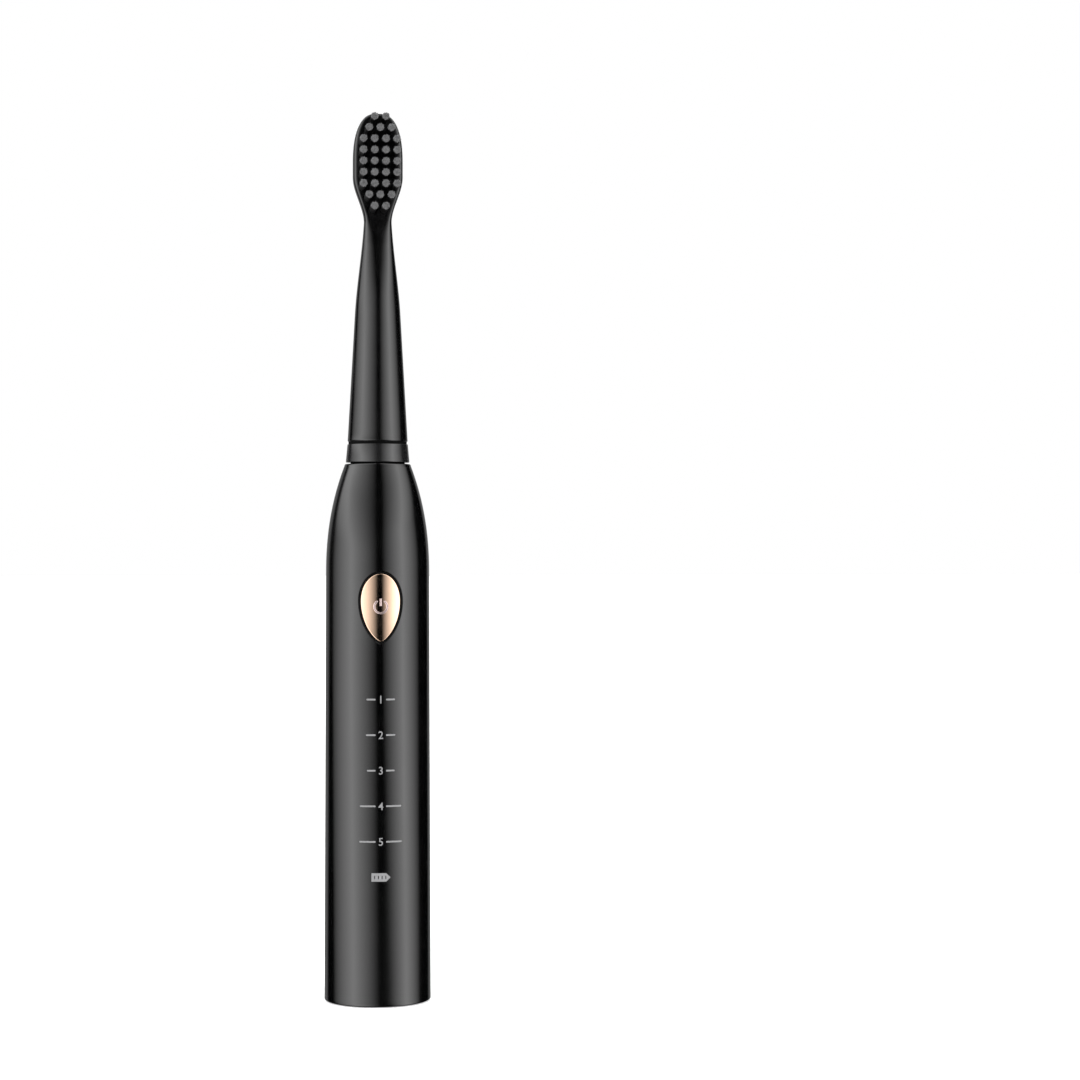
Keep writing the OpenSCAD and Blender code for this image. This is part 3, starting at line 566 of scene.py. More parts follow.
def handle_shell(finish):
    """The housing: its profile, outside and in, carried round the axis, with the button's pocket.

    Round the pocket, rings run from the egg outline out to a rectangle whose corners and edges are
    points of the main grid, so the two meet without a seam.
    """
    cols, half_cols, band_rows = 240, 20, 43
    patch_rings, crowding = 16, 1.15
    crest = HANDLE_TOP - LIP_ROUND
    foot = arc(FOOT_R - RIM_ROUND, RIM_Z + RIM_ROUND, RIM_ROUND, -90, 0, 9)
    plain_z = np.linspace(RIM_Z + 2 * RIM_ROUND, BAND_LOW, 24)[:-1]
    band_z = np.linspace(BAND_LOW, BAND_HIGH, band_rows)
    shoulder_z = np.linspace(BAND_HIGH, crest, 52)[1:]
    lip = arc(handle_radius(crest) - LIP_ROUND, crest, LIP_ROUND, 20, 90, 9)
    wall_z = np.hstack([plain_z, band_z, shoulder_z])
    wall = np.column_stack([handle_radius(wall_z), wall_z])
    inner_z = np.linspace(LEDGE_Z, SHOULDER_Z, 12)
    inside = np.vstack([[NOSE_R, HANDLE_TOP], [NOSE_R, LEDGE_Z],
                        np.column_stack([handle_radius(inner_z) - WALL_THICK, inner_z]),
                        [BORE_R, BORE_END_Z], [BORE_R, RIM_Z]])
    profile = np.vstack([foot, wall, lip, inside, foot[:1]])
    points = turned(profile, cols)
    faces = quads(len(profile), cols)

    # Take the rectangle out of the main grid
    low_row = len(foot) + len(plain_z)
    high_row = low_row + band_rows - 1
    row, col = np.divmod(np.arange(len(faces)), cols)
    col = (col + cols // 2) % cols - cols // 2
    inside_patch = (row >= low_row) & (row < high_row) & (col >= -half_cols) & (col < half_cols)
    faces = faces[~inside_patch]

    # The rectangle's edge, once round from its lower right corner
    up, side = np.arange(low_row, high_row), np.arange(half_cols, -half_cols, -1)
    edge = np.vstack([
        np.column_stack([up, np.full(len(up), half_cols)]),
        np.column_stack([np.full(len(side), high_row), side]),
        np.column_stack([up[::-1] + 1, np.full(len(up), -half_cols)]),
        np.column_stack([np.full(len(side), low_row), -side])])
    edge_turn = edge[:, 1] * 2 * np.pi / cols
    edge_z = profile[edge[:, 0], 1]
    middle = (BAND_LOW + BAND_HIGH) / 2
    around = np.arctan2((edge_z - middle) / (BAND_HIGH - BAND_LOW),
                        edge_turn / (2 * half_cols * 2 * np.pi / cols))
    x, z = egg(GASKET_W + POCKET_ROUND, around)
    start_turn = np.arcsin(x / handle_radius(z))
    rings = []
    for t in np.linspace(1, 0, patch_rings) ** crowding:
        turn, height = mix(start_turn, edge_turn, t), mix(z, edge_z, t)
        r = handle_radius(height)
        rings.append(np.stack([r * np.sin(turn), -r * np.cos(turn), height], -1))
    for t in np.radians([30, 60, 90]):
        x, z = egg(GASKET_W + POCKET_ROUND * (1 - math.sin(t)), around)
        rings.append(on_handle(x, z, POCKET_ROUND * (1 - math.cos(t))))
    rings.append(on_handle(x, z, POCKET_DEEP))
    for shrink in (0.6, 0.0):
        rings.append(on_handle(x * shrink, mix(BUTTON_Z, z, shrink), POCKET_DEEP))
    patch = np.stack(rings), quads(len(rings), len(edge))
    points, faces = joined([(points, faces), patch])
    return make_piece("handle_shell", points, faces, "handle", finish, ["handle_housing"], sharp=50)


def button_surface(x, z, deep=0.0):
    """Points of the button's face: an upright cylinder, a little rounder than the handle's."""
    return np.stack([x, deep - BUTTON_FACE_Y - np.sqrt(BUTTON_FACE_R ** 2 - x ** 2), z], -1)


def button_cap(finish):
    """The button: rings from its middle out to the egg, over a rounded edge, and back under."""
    around = 160
    out = np.sin(np.linspace(0, np.pi / 2, 18))
    turn = np.linspace(0, 2 * np.pi, around, endpoint=False)
    x, z = egg(-BUTTON_EDGE, turn)
    rings = [button_surface(x * t, mix(BUTTON_Z, z, t)) for t in out]
    for a in np.radians(np.linspace(15, 90, 7)):
        x, z = egg(BUTTON_EDGE * (math.sin(a) - 1), turn)
        rings.append(button_surface(x, z, BUTTON_EDGE * (1 - math.cos(a))))
    rings.append(button_surface(x, z, BUTTON_THICK))
    rings.append(button_surface(x * 0, mix(BUTTON_Z, z, 0), BUTTON_THICK))
    return make_piece("button_cap", np.stack(rings), quads(len(rings), around), "button", finish,
                      ["power_button"])


def tube_along(path, radii, sides, flat=0.6):
    """Rings of a bead along a path on the button's face.

    Each ring is an ellipse as wide as the radius at its point, and flat times as high.
    """
    path = np.asarray(path, float)
    along = np.gradient(path, axis=0)
    along /= np.linalg.norm(along, axis=1, keepdims=True)
    out = np.repeat([[0.0, -1.0, 0.0]], len(path), 0)
    across = np.cross(along, out)
    a = np.linspace(0, 2 * np.pi, sides, endpoint=False)
    r = np.asarray(radii)[:, None, None]
    return (path[:, None] + r * np.cos(a)[None, :, None] * across[:, None]
            + r * flat * np.sin(a)[None, :, None] * out[:, None])


def bead(x, z, line):
    """A bead of a half width along points at x and z of the button's face, with round ends.

    Within one half width of an end, the radius follows a quarter circle down to nothing.
    """
    sides = 12
    path = button_surface(x, z, SIGN_SINK)
    steps = np.linspace(0, 1, len(x))
    length = np.sum(np.hypot(np.diff(x), np.diff(z)))
    near_end = np.minimum(steps, 1 - steps) * length / line
    radii = line * np.sqrt(np.clip(1 - (1 - np.clip(near_end, 0, 1)) ** 2, 0, 1))
    return tube_along(path, radii, sides), quads(len(x), sides)


def power_sign(finish):
    """The sign on the button: an open ring, and a short bar that stands in its gap."""
    turn = np.radians(np.linspace(90 + SIGN_GAP, 450 - SIGN_GAP, 72))
    r = SIGN_R - SIGN_LINE
    ring = bead(r * np.cos(turn), SIGN_Z + r * np.sin(turn), SIGN_LINE)
    along = 0.5 - 0.5 * np.cos(np.linspace(0, np.pi, 24))
    bar = bead(along * 0, mix(SIGN_BAR_LOW, SIGN_BAR_HIGH, along), SIGN_LINE)
    points, faces = joined([ring, bar])
    return make_piece("power_sign", points, faces, "button", finish, ["power_icon"])


def gasket_lip(finish):
    """The rubber round the button: a half-round lip in the gap between it and the pocket."""
    around, steps = 200, 16
    turn = np.linspace(0, 2 * np.pi, around, endpoint=False)
    rings = []
    mid, half = GASKET_W / 2, GASKET_W / 2 - LIP_CLEAR
    for a in np.linspace(0, np.pi, steps):
        x, z = egg(mid - half * math.cos(a), turn)
        rings.append(on_handle(x, z, LIP_DEEP - LIP_RISE * math.sin(a)))
    for side in (1, -1):
        x, z = egg(mid + half * side, turn)
        rings.append(on_handle(x, z, LIP_ROOT))
    rings.append(rings[0])
    return make_piece("gasket_lip", np.stack(rings), quads(len(rings), around), "handle", finish,
                      ["button_gasket"])


# ---- Print on the handle ----

def wrapped(across, up, lift):
    """Points of a flat drawing bent round the front of the handle: across becomes an angle."""
    r = handle_radius(up)
    turn = across / r
    return np.stack([(r + lift) * np.sin(turn), -(r + lift) * np.cos(turn), up], -1)


def strip(xs, lows, highs):
    """A thin slab between a lower and an upper edge, wrapped round the handle."""
    xs, lows, highs = (np.asarray(v, float) for v in (xs, lows, highs))
    thin = np.full(len(xs), PRINT_THICK)
    points = np.stack([wrapped(xs, lows, -thin), wrapped(xs, highs, -thin),
                       wrapped(xs, highs, thin), wrapped(xs, lows, thin)], 1)
    ends = [np.repeat(points[i].mean(0)[None], 4, 0) for i in (0, -1)]
    points = np.concatenate([ends[0][None], points, ends[1][None]])
    return points, quads(len(points), 4)


def dash(x0, x1, z, thick):
    """A short bar from x0 to x1: straight, with half a circle at each end."""
    t = np.cos(np.linspace(np.pi, 0, 17))
    r, blunt = thick / 2, 0.0004
    straight = np.linspace(x0 + r, x1 - r, 12)
    run = np.hstack([x0 + r + r * t[:8], straight, x1 - r + r * t[9:]])
    half = r * np.sqrt(np.clip(1 - np.hstack([t[:8], straight * 0, t[9:]]) ** 2, blunt, 1))
    return strip(run, z - half, z + half)


def numeral(text, z):
    """A number set in the plain built-in face, made a thin solid and bent round the handle."""
    bolder, narrower = 0.008, 0.95
    curve = bpy.data.curves.new("numeral", "FONT")
    curve.body = text
    curve.align_x = "CENTER"
    curve.extrude = 1
    curve.resolution_u = 5
    curve.offset = bolder
    maker = bpy.data.objects.new("numeral", curve)
    bpy.context.scene.collection.objects.link(maker)
    solid = maker.evaluated_get(bpy.context.evaluated_depsgraph_get())
    mesh = bpy.data.meshes.new_from_object(solid)
    bpy.data.objects.remove(maker)
    co = np.empty(len(mesh.vertices) * 3)
    mesh.vertices.foreach_get("co", co)
    co = co.reshape(-1, 3)
    low, high = co.min(0), co.max(0)
    size = MARK_HEIGHT / (high[1] - low[1])
    flat = (co - (low + high) / 2) * [size * narrower, size, PRINT_THICK]
    mesh.vertices.foreach_set("co", wrapped(flat[:, 0], z + flat[:, 1], flat[:, 2]).ravel())
    mesh.update()
    return mesh


def mode_marks(finish):
    """Five marks, one under another: a number between two dashes."""
    for i, width in enumerate(MARK_WIDTHS):
        z = MARK_TOP_Z - i * MARK_PITCH
        sides = joined([dash(-width / 2, -DASH_GAP, z, DASH_THICK),
                        dash(DASH_GAP, width / 2, z, DASH_THICK)])
        bars = make_piece(f"mode_bars_{i + 1}", *sides, "handle", finish)
        number = place(f"mode_number_{i + 1}", numeral(str(i + 1), z), "handle", finish)


def battery_sign(finish):
    """A cell lying on its side with a pointed end, and four narrow slots across it."""
    z = MARK_TOP_Z - len(MARK_WIDTHS) * MARK_PITCH
    tall, edge, slot, blunt = 1.05 * MM, 0.66 * MM, 0.22 * MM, 0.05 * MM
    left, neck, tip = -2.35 * MM, 1.35 * MM, 2.4 * MM
    run, level = np.linspace(left, neck, 10), np.full(10, z)
    nose = np.linspace(neck, tip, 7)
    nose_half = mix(tall, blunt, (nose - neck) / (tip - neck))
    parts = [strip(run, level + tall - edge, level + tall),
             strip(run, level - tall, level - tall + edge),
             strip(nose, z - nose_half, z + nose_half)]
    bars = np.linspace(left, neck, 5)
    for start, end in zip(bars[:-1], bars[1:]):
        x = np.linspace(start, end - slot, 4)
        parts.append(strip(x, level[:4] - tall + edge, level[:4] + tall - edge))
    sign = make_piece("battery_sign", *joined(parts), "handle", finish)


# ---- The brush head ----

def head_width(z):
    """Half width of the head at height z.

    A straight taper that draws in by a smooth step to the neck, another smooth step out to the
    plate, and a superellipse that closes the crown.
    """
    line = STEM_R - STEM_SLOPE * (z - STEM_LOW)
    drop = STEM_R - STEM_SLOPE * (NECK_Z - STEM_LOW) - NECK_W
    stem = line - drop * smooth((z - NECK_START) / (NECK_Z - NECK_START))
    plate = mix(NECK_W, PLATE_W, smooth((z - NECK_Z) / (PLATE_Z - NECK_Z)))
    rise = np.clip((z - CROWN_Z) / (HEAD_TOP - CROWN_Z), 0, 1)
    crown = PLATE_W * (1 - rise ** CROWN_POWER) ** (1 / CROWN_POWER)
    return np.where(z < NECK_Z, stem, np.where(z < CROWN_Z, plate, crown))


def head_rows(z, turn):
    """The head's skin: a closed row of points at each height z, one for each turn.

    A circle turns by a smooth step into a flattened superellipse, deeper in front than behind. The
    front is planed off, first on a slant, then upright, and the edge of that flat is rounded.
    """
    z, turn = z[:, None], turn[None]
    w = head_width(z)
    flat = smooth((z - LOFT_Z) / (PLATE_FULL_Z - LOFT_Z))
    crown = np.clip(w / PLATE_W * CROWN_FULL, 0, 1)
    c, s = np.cos(turn), np.sin(turn)
    power = mix(2.0, np.where(s < 0, FRONT_POWER, BACK_POWER), flat)
    deep = mix(w, np.where(s < 0, HEAD_FRONT, PLATE_BACK) * crown, flat)
    k = (np.abs(c) ** power + np.abs(s) ** power) ** (-1 / power)
    slope = (head_width(np.array(FACET_TIP_Z)) - PLATE_FRONT) / (FACET_TOP_Z - FACET_TIP_Z)
    plane = PLATE_FRONT + np.clip(FACET_TOP_Z - z, 0, None) * slope
    y = deep * s * k
    planed = -soft_min(-y, plane + 0 * y, FACET_EDGE)
    y = np.where((s < 0) & (z > LOFT_Z), mix(y, planed, smooth((z - LOFT_Z) / FACET_BLEND)), y)
    return np.stack([w * c * k, y, z + 0 * y], -1)


def brush_stem(finish):
    """Stem and plate as one skin, closed inside by the wall of the hollow that takes the core."""
    cols = 192
    turn = np.linspace(0, 2 * np.pi, cols, endpoint=False)
    skirt_wall, top_wall = 1.1 * MM, 1.3 * MM
    hollow_r = SKIRT_R - skirt_wall
    lathe = np.vstack([
        [0, HOLLOW_TOP], [head_width(np.array(HOLLOW_TOP)) - top_wall, HOLLOW_TOP],
        [hollow_r, STEM_LOW], [hollow_r, HEAD_LOW.z], [SKIRT_R, HEAD_LOW.z], [SKIRT_R, GROOVE_LOW],
        [GROOVE_R, GROOVE_LOW], [GROOVE_R, STEM_LOW],
        arc(STEM_R - STEM_EDGE, STEM_LOW + STEM_EDGE, STEM_EDGE, -90, 0, 8)])
    base = np.stack([lathe[:, :1] * np.cos(turn), lathe[:, :1] * np.sin(turn),
                     np.repeat(lathe[:, 1:], cols, 1)], -1)
    straight = np.linspace(STEM_LOW + 1.5 * STEM_EDGE, LOFT_Z, 24)
    climb = np.linspace(LOFT_Z, CROWN_Z, 130)[1:]
    crown = mix(CROWN_Z, HEAD_TOP, np.sin(np.linspace(0, np.pi / 2, 44)))[1:]
    skin = head_rows(np.hstack([straight, climb, crown]), turn)
    points = np.concatenate([base, skin])
    return make_piece("brush_stem", points, quads(len(points), cols), "brush_head", finish,
                      ["head_stem"], sharp=35)


def tuft_places():
    """Centres of the tufts at x and z: rows of two, three or four."""
    return np.array([((j - (n - 1) / 2) * TUFT_PITCH, TUFT_LOW_Z + i * TUFT_PITCH)
                     for i, n in enumerate(TUFT_ROWS) for j in range(n)])


def tufts(finish):
    """Thirty tufts of round filaments, set in each tuft in a sunflower pattern.

    A filament's middle line goes from its root to its tip, which stands a little further out. Its
    bow is four s times one less s, for s from 0 to 1, times an amount of its own. It is a six-sided
    tube with a domed tip. Each strays, leans, bows and turns by chance, and has its own length.
    """
    rng = np.random.default_rng(7)
    centres = tuft_places()
    sides, dome = 6, 0.03 * MM
    stray, lean, uneven, bowed = 0.012, 0.02 * MM, 0.05 * MM, 0.03 * MM
    sunk, shortest = 0.6 * MM, 0.06 * MM
    n = np.arange(BRISTLES)
    out = np.sqrt((n + 0.5) / BRISTLES)
    angle = n * np.pi * (3 - math.sqrt(5))
    count = len(centres) * BRISTLES
    spot = np.tile(np.stack([out * np.cos(angle), out * np.sin(angle)], -1), (len(centres), 1))
    spot += rng.normal(0, stray, spot.shape)
    centre = np.repeat(centres, BRISTLES, 0)
    root = centre + spot * (TUFT_ROOT_R - BRISTLE_R)
    tip = centre + spot * (TUFT_TIP_R - BRISTLE_R) + rng.normal(0, lean, spot.shape)
    deep = -PLATE_FRONT + sunk
    end = BRISTLE_TIPS_Y + shortest + np.abs(rng.normal(0, uneven, count))
    bow = rng.normal(0, bowed, spot.shape)
    stations = np.array([0, 0.35, 0.7, 0.985, 1.0])
    widths = np.array([1, 1, 1, 0.97, 0.55])
    twist = rng.uniform(0, np.pi / 3, count)
    corner = np.arange(sides) * 2 * np.pi / sides
    rings = []
    for s, w in zip(stations, widths):
        mid = mix(root, tip, s) + bow * (s * (1 - s) * 4)
        a = corner[None] + twist[:, None]
        x = mid[:, :1] + BRISTLE_R * w * np.cos(a)
        z = mid[:, 1:] + BRISTLE_R * w * np.sin(a)
        rings.append(np.stack([x, np.repeat(mix(deep, end, s)[:, None], sides, 1), z], -1))
    points = np.stack(rings, 1)
    root_cap, tip_cap = (np.repeat(points[:, i].mean(1)[:, None, None], sides, 2) for i in (0, -1))
    points = np.concatenate([root_cap, points, tip_cap + [0, -dome, 0]], 1)
    per = points.shape[1] * sides
    faces = quads(points.shape[1], sides)[None] + (np.arange(count) * per)[:, None, None]
    return make_piece("tufts", points, faces, "brush_head", finish, ["bristle_tufts"], sharp=70)


def grey_ring(finish):
    """The ring at the foot of the head, its two edges rounded."""
    low, high, inner = RING_LOW.z, RING_HIGH.z, SKIRT_R + 0.05 * MM
    profile = np.vstack([
        [inner, low], arc(RING_R - RING_EDGE, low + RING_EDGE, RING_EDGE, -90, 4, 7),
        arc(RING_TOP_R - RING_EDGE, high - RING_EDGE, RING_EDGE, 4, 90, 7), [inner, high]])
    return turned_piece("grey_ring", profile, "brush_head", finish, ["id_ring"])


# ---- Foot and nose ----

def foot_cap(finish):
    """The cap in the foot: a flat floor with a shallow groove, and the charger's socket."""
    cap_r, socket_r, deep = 11.6 * MM, 5 * MM, 10 * MM
    wall, skirt, floor, top, edge = 1.1 * MM, 1.8 * MM, 2.2 * MM, 9 * MM, 0.25 * MM
    groove_at, groove_r = 9.2 * MM, 0.28 * MM
    profile = np.vstack([
        [0, deep], [socket_r, deep], arc(socket_r + edge, edge, edge, 180, 270, 6),
        arc(groove_at, 0, groove_r, 180, 0, 9), arc(cap_r - edge, edge, edge, -90, 0, 6),
        [cap_r, top], [cap_r - skirt, top], [cap_r - skirt, floor],
        [socket_r + wall, floor], [socket_r + wall, deep + wall], [0, deep + wall]])
    return turned_piece("foot_cap", profile, "handle", finish, ["base_cap"])


def nose_cup(finish):
    """The black insert in the top of the handle that holds the seal."""
    edge, flange_r, flange_low = 0.15 * MM, 8.6 * MM, LEDGE_Z - 0.1 * MM
    low, high = (corner.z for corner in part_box("nose_insert"))
    slip, play, shelf = 0.05 * MM, 0.6 * MM, 129.5 * MM
    outer, inner, bore = NOSE_R - slip, 4.6 * MM, SHAFT_R + play
    profile = np.vstack([
        [outer, LEDGE_Z], arc(outer - edge, high - edge, edge, 0, 90, 6),
        arc(inner + edge, high - edge, edge, 90, 180, 6), [inner, shelf], [bore, shelf],
        [bore, low], [flange_r, low], [flange_r, flange_low], [outer, flange_low]])
    return turned_piece("nose_cup", profile, "handle", finish, ["nose_insert"], sides=128)


def shaft_rod(finish):
    """The steel shaft: a round rod with a chamfered tip, planed flat in front above the nose."""
    cols, chamfer = 96, 0.5 * MM
    groove_low, groove_r = FLAT_Z + 12 * MM, SHAFT_R - 0.3 * MM
    groove_high = groove_low + 1.2 * MM
    low, high = SHAFT_LOW.z, SHAFT_HIGH.z
    profile = np.array([
        [0, low], [SHAFT_R, low], [SHAFT_R, FLAT_Z - FLAT_EDGE], [SHAFT_R, FLAT_Z],
        [SHAFT_R, groove_low], [groove_r, groove_low], [groove_r, groove_high],
        [SHAFT_R, groove_high], [SHAFT_R, high - chamfer], [SHAFT_R - chamfer, high], [0, high]])
    points = turned(profile, cols)
    planed = points[..., 2] >= FLAT_Z
    points[..., 1] = np.where(planed, np.maximum(points[..., 1], -FLAT_Y), points[..., 1])
    return make_piece("shaft_rod", points, quads(len(profile), cols), "drive", finish,
                      ["drive_shaft"], sharp=30)


# ---- What shows of the rest ----

def dress(materials):
    """Gives each CAD node that is kept its finish."""
    for name, finish in materials.items():
        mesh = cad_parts[name].data
        mesh.materials.clear()
        mesh.materials.append(finish)


def dress_inside():
    """Finishes of the pieces inside, most of them out of sight while the brush is whole."""
    copper = (0.55, 0.22, 0.09)
    seal = rubber("red_seal_rubber", (0.20, 0.02, 0.012))
    mount = rubber("mount_rubber", (0.028, 0.028, 0.028))
    zinc = bright_metal("zinc_plate", (0.50, 0.50, 0.50))
    bronze = bright_metal("sintered_bronze", (0.50, 0.33, 0.14), (0.4, 0.55))
    parts = moulded("ceramic_and_solder", (0.36, 0.29, 0.2), (0.3, 0.5))
    lens = moulded("lamp_lens", (0.75, 0.75, 0.66), (0.12, 0.2))
    dress({
        "base_oring": seal, "nose_oring": seal,
        "charge_coil": wound_wire("coil_copper", copper, 900),
        "stator_coils": wound_wire("stator_copper", copper, 1100),
        "coil_leads": moulded("enamelled_lead", (0.42, 0.28, 0.08), (0.25, 0.4)),
        "motor_leads": moulded("red_lead_sleeve", (0.33, 0.02, 0.015), (0.35, 0.5)),
        "chassis": moulded("chassis_plastic", (0.42, 0.43, 0.44)),
        "battery_cell": shrink_sleeve(),
        "battery_pad": rubber("foam_pad", (0.05, 0.05, 0.05), 1500),
        "battery_tabs": bright_metal("nickel_strip", (0.55, 0.54, 0.51), lines=(8, 1, 1)),
        "main_board": solder_mask(),
        "board_screws": zinc, "motor_screws": zinc, "seal_washer": zinc,
        "control_chip": moulded("moulded_epoxy", (0.014, 0.014, 0.015), (0.4, 0.55)),
        "board_components": parts, "mode_leds": lens, "charge_led": lens,
        "light_guide": moulded("white_shade", (0.70, 0.70, 0.70)),
        "tact_switch": moulded("switch_case", (0.07, 0.07, 0.075)),
        "switch_plunger": moulded("plunger_plastic", (0.02, 0.02, 0.02)),
        "motor_can": bright_metal("nickel_can", (0.52, 0.52, 0.51)),
        "motor_front_plate": zinc, "motor_rear_plate": zinc,
        "front_bush": bronze, "rear_bush": bronze,
        "stator_cores": stacked_sheets(),
        "rotor_hub": bright_metal("turned_steel", (0.40, 0.40, 0.41)),
        "stator_bobbins": moulded("bobbin_nylon", (0.72, 0.70, 0.64)),
        "rotor_magnets": bright_metal("magnet_nickel", (0.34, 0.34, 0.36), (0.3, 0.45)),
        "motor_sleeve": mount, "motor_collar": mount,
        "shaft_seal": rubber("seal_lip_rubber", (0.012, 0.013, 0.015)),
        "head_core": moulded("core_nylon", (0.66, 0.66, 0.65)),
        "shaft_clip": bright_metal("spring_steel", (0.58, 0.58, 0.59)),
        "tuft_anchors": bright_metal("anchor_brass", (0.58, 0.42, 0.16)),
    })


# ---- Stage, lights and camera ----

# Camera: its turn round the handle and how far aside it looks, both in degrees
CAMERA_TURN = -3.4
CAMERA_FAR = 686 * MM
CAMERA_HEIGHT = 116.7 * MM
CAMERA_ASIDE = 3.45
LENS = 89.76

# Soft boxes: the turn of the middle line and the reach to either side, in degrees from the front.
# A height here is the upward part of a direction of length one, and a depth the downward part.
# Above its start height a box's turn and reach grow by the spread, as a share, for each unit of
# height. Below the level its reach shrinks by the narrowing, in degrees, for each unit of depth.
SOFTBOXES = [
    {"middle": -64.4, "reach": 60, "start": 0.12, "spread": 1.9, "narrowing": 25},
    {"middle": 53.6, "reach": 47, "start": 0.22, "spread": 1.3, "narrowing": 60},
]
SOFTBOX_BRIGHT = 3.0
SPREAD_END = 0.3            # so far above its start a box has spread fully
SPREAD_DIM = 1.2            # brightness lost for each unit of height as it spreads
LEAN = 68                   # degrees to the right for each unit of depth
LEAN_START = 0.045          # the depth where that begins
LEAN_END = 0.16             # and so far below that it is complete
BOX_OUTER = 130             # no box reaches further round than this
BOX_OUTER_EDGE = 6
BOX_END = 0.86              # the depth where boxes and wall end
BOX_END_EDGE = 4
WALL_TURN = 138             # behind this turn on either side is the wall
WALL_EDGE = 8
WALL_BRIGHT = 0.3


def towards(turn, far, height):
    """A place at a turn in degrees round the axis from the front, positive to the right."""
    a = math.radians(turn)
    return (far * math.sin(a), -far * math.cos(a), height)


def camera():
    """The camera in front, level, a little to the left."""
    data = bpy.data.cameras.new("camera")
    data.lens = LENS
    data.clip_start, data.clip_end = 0.01, 30
    shot = bpy.data.objects.new("camera", data)
    shot.location = towards(CAMERA_TURN, CAMERA_FAR, CAMERA_HEIGHT)
    shot.rotation_euler = (math.radians(90), 0, math.radians(CAMERA_TURN - CAMERA_ASIDE))
    bpy.context.scene.collection.objects.link(shot)
    bpy.context.scene.camera = shot


def overhead():
    """A wide soft light above, which whitens the floor and isn't seen in reflections."""
    size, watts, height = 3.0, 55, 2.6
    data = bpy.data.lights.new("overhead", "AREA")
    data.size, data.energy = size, watts
    light = bpy.data.objects.new("overhead", data)
    light.location = (0, 0, height)
    light.visible_camera = False
    light.visible_glossy = False
    bpy.context.scene.collection.objects.link(light)


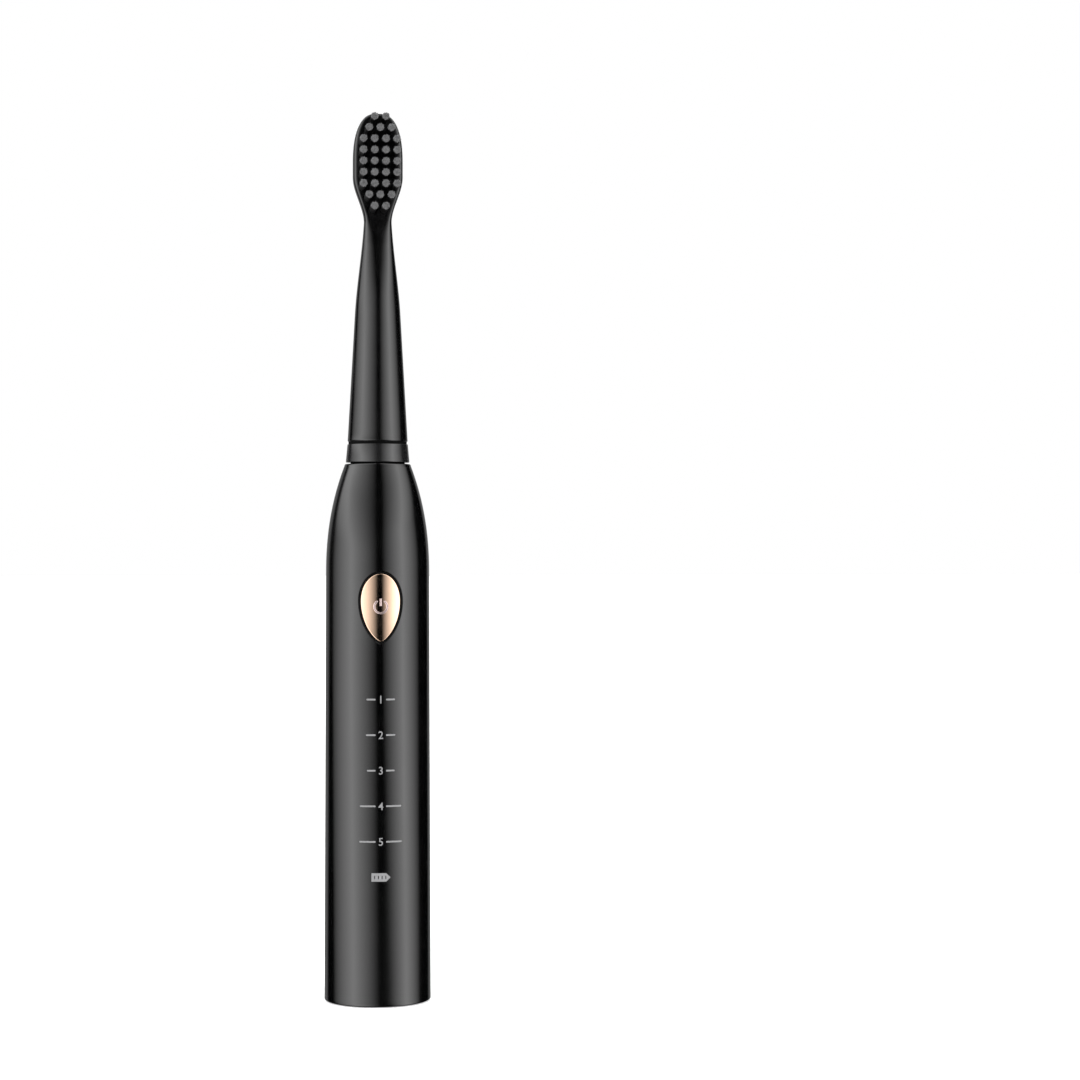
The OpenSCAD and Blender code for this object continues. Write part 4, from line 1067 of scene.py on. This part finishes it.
def surroundings():
    """White for the eye; for light and reflections, two tall soft boxes and a paler wall behind.

    A box's brightness depends on the turn round the axis: full at its middle line, falling in a
    straight line to nothing at its two sides. Above its start height a box spreads outwards, more
    with the height. Below the level both lean to the right and narrow, more with the depth.
    """
    world = bpy.data.worlds.new("studio")
    world.use_nodes = True
    tree = world.node_tree
    back = tree.nodes["Background"]
    back.inputs["Color"].default_value = (1, 1, 1, 1)

    def number(operation, a, b=0.0, clamp=False):
        """The result of a Math node on a and b, each a number or another node's result."""
        node = tree.nodes.new("ShaderNodeMath")
        node.operation, node.use_clamp = operation, clamp
        for socket, value in zip(node.inputs, (a, b)):
            if isinstance(value, (int, float)):
                socket.default_value = value
            else:
                tree.links.new(value, socket)
        return node.outputs[0]

    way = tree.nodes.new("ShaderNodeSeparateXYZ")
    tree.links.new(tree.nodes.new("ShaderNodeTexCoord").outputs["Generated"], way.inputs[0])
    rise = way.outputs["Z"]
    turn = number("ARCTAN2", way.outputs["X"], number("MULTIPLY", way.outputs["Y"], -1))
    round_it = number("ABSOLUTE", turn)
    behind = number("SUBTRACT", round_it, math.radians(WALL_TURN))
    light = number("MULTIPLY", number("MULTIPLY", behind, WALL_EDGE, clamp=True), WALL_BRIGHT)
    lowered = number("MINIMUM", number("ADD", rise, LEAN_START), 0)
    lowered = number("MAXIMUM", lowered, -LEAN_END)
    leaning = number("ADD", turn, number("MULTIPLY", lowered, math.radians(LEAN)))
    inside = number("SUBTRACT", math.radians(BOX_OUTER), round_it)
    inside = number("MULTIPLY", inside, BOX_OUTER_EDGE, clamp=True)
    for box in SOFTBOXES:
        raised = number("MAXIMUM", number("SUBTRACT", rise, box["start"]), 0)
        raised = number("MINIMUM", raised, SPREAD_END)
        spread = number("ADD", 1, number("MULTIPLY", raised, box["spread"]))
        away = number("SUBTRACT", number("DIVIDE", leaning, spread), math.radians(box["middle"]))
        narrower = number("MULTIPLY", lowered, math.radians(box["narrowing"]))
        reach = number("ADD", math.radians(box["reach"]), narrower)
        falling = number("DIVIDE", number("ABSOLUTE", away), reach)
        falling = number("SUBTRACT", 1, falling, clamp=True)
        bright = number("SUBTRACT", SOFTBOX_BRIGHT, number("MULTIPLY", raised, SPREAD_DIM))
        shine = number("MULTIPLY", number("MULTIPLY", falling, bright), inside)
        light = number("ADD", light, shine)
    above_end = number("MULTIPLY", number("ADD", rise, BOX_END), BOX_END_EDGE, clamp=True)
    light = number("MULTIPLY", light, above_end)
    eye = tree.nodes.new("ShaderNodeLightPath").outputs["Is Camera Ray"]
    tree.links.new(number("MAXIMUM", light, eye), back.inputs["Strength"])
    bpy.context.scene.world = world


def floor():
    """A wide pale floor just under the foot, which glows a little and isn't seen in reflections."""
    wide, low, glow = 8.0, -0.1 * MM, 0.45
    f = Finish("pale_floor", IOR=1.3)
    f.colours(f.noise(3, 3), (0.3, (0.90, 0.90, 0.90)), (0.7, (0.94, 0.94, 0.94)))
    f.roughness(f.noise(40, 3), 0.8, 0.9)
    f.shader.inputs["Emission Color"].default_value = (1, 1, 1, 1)
    f.shader.inputs["Emission Strength"].default_value = glow
    mesh = bpy.data.meshes.new("floor")
    corners = [(-wide, -wide, low), (wide, -wide, low), (wide, wide, low), (-wide, wide, low)]
    mesh.from_pydata(corners, [], [(0, 1, 2, 3)])
    mesh.materials.append(f.material)
    ground = bpy.data.objects.new("floor", mesh)
    ground.visible_glossy = False
    ground.visible_shadow = False
    bpy.context.scene.collection.objects.link(ground)


handle_shell(piano_lacquer())
button_cap(rose_gold())
power_sign(pearl_enamel())
gasket_lip(rubber("gasket_rubber", (0.0015, 0.0015, 0.0015), shine=0.12))
ink = printed_ink()
mode_marks(ink)
battery_sign(ink)
brush_stem(stem_gloss())
tufts(grey_filament())
grey_ring(satin_grey())
foot_cap(moulded("foot_satin", (0.008, 0.008, 0.0085), (0.3, 0.42), 2400))
nose_cup(moulded("nose_plastic", (0.01, 0.01, 0.0105), (0.32, 0.45), 2600))
shaft_rod(bright_metal("ground_steel", (0.36, 0.36, 0.37), (0.2, 0.28), (1, 1, 6), 5e-7))
dress_inside()
floor()
surroundings()
overhead()
camera()
bpy.context.scene.view_settings.view_transform = "Standard"
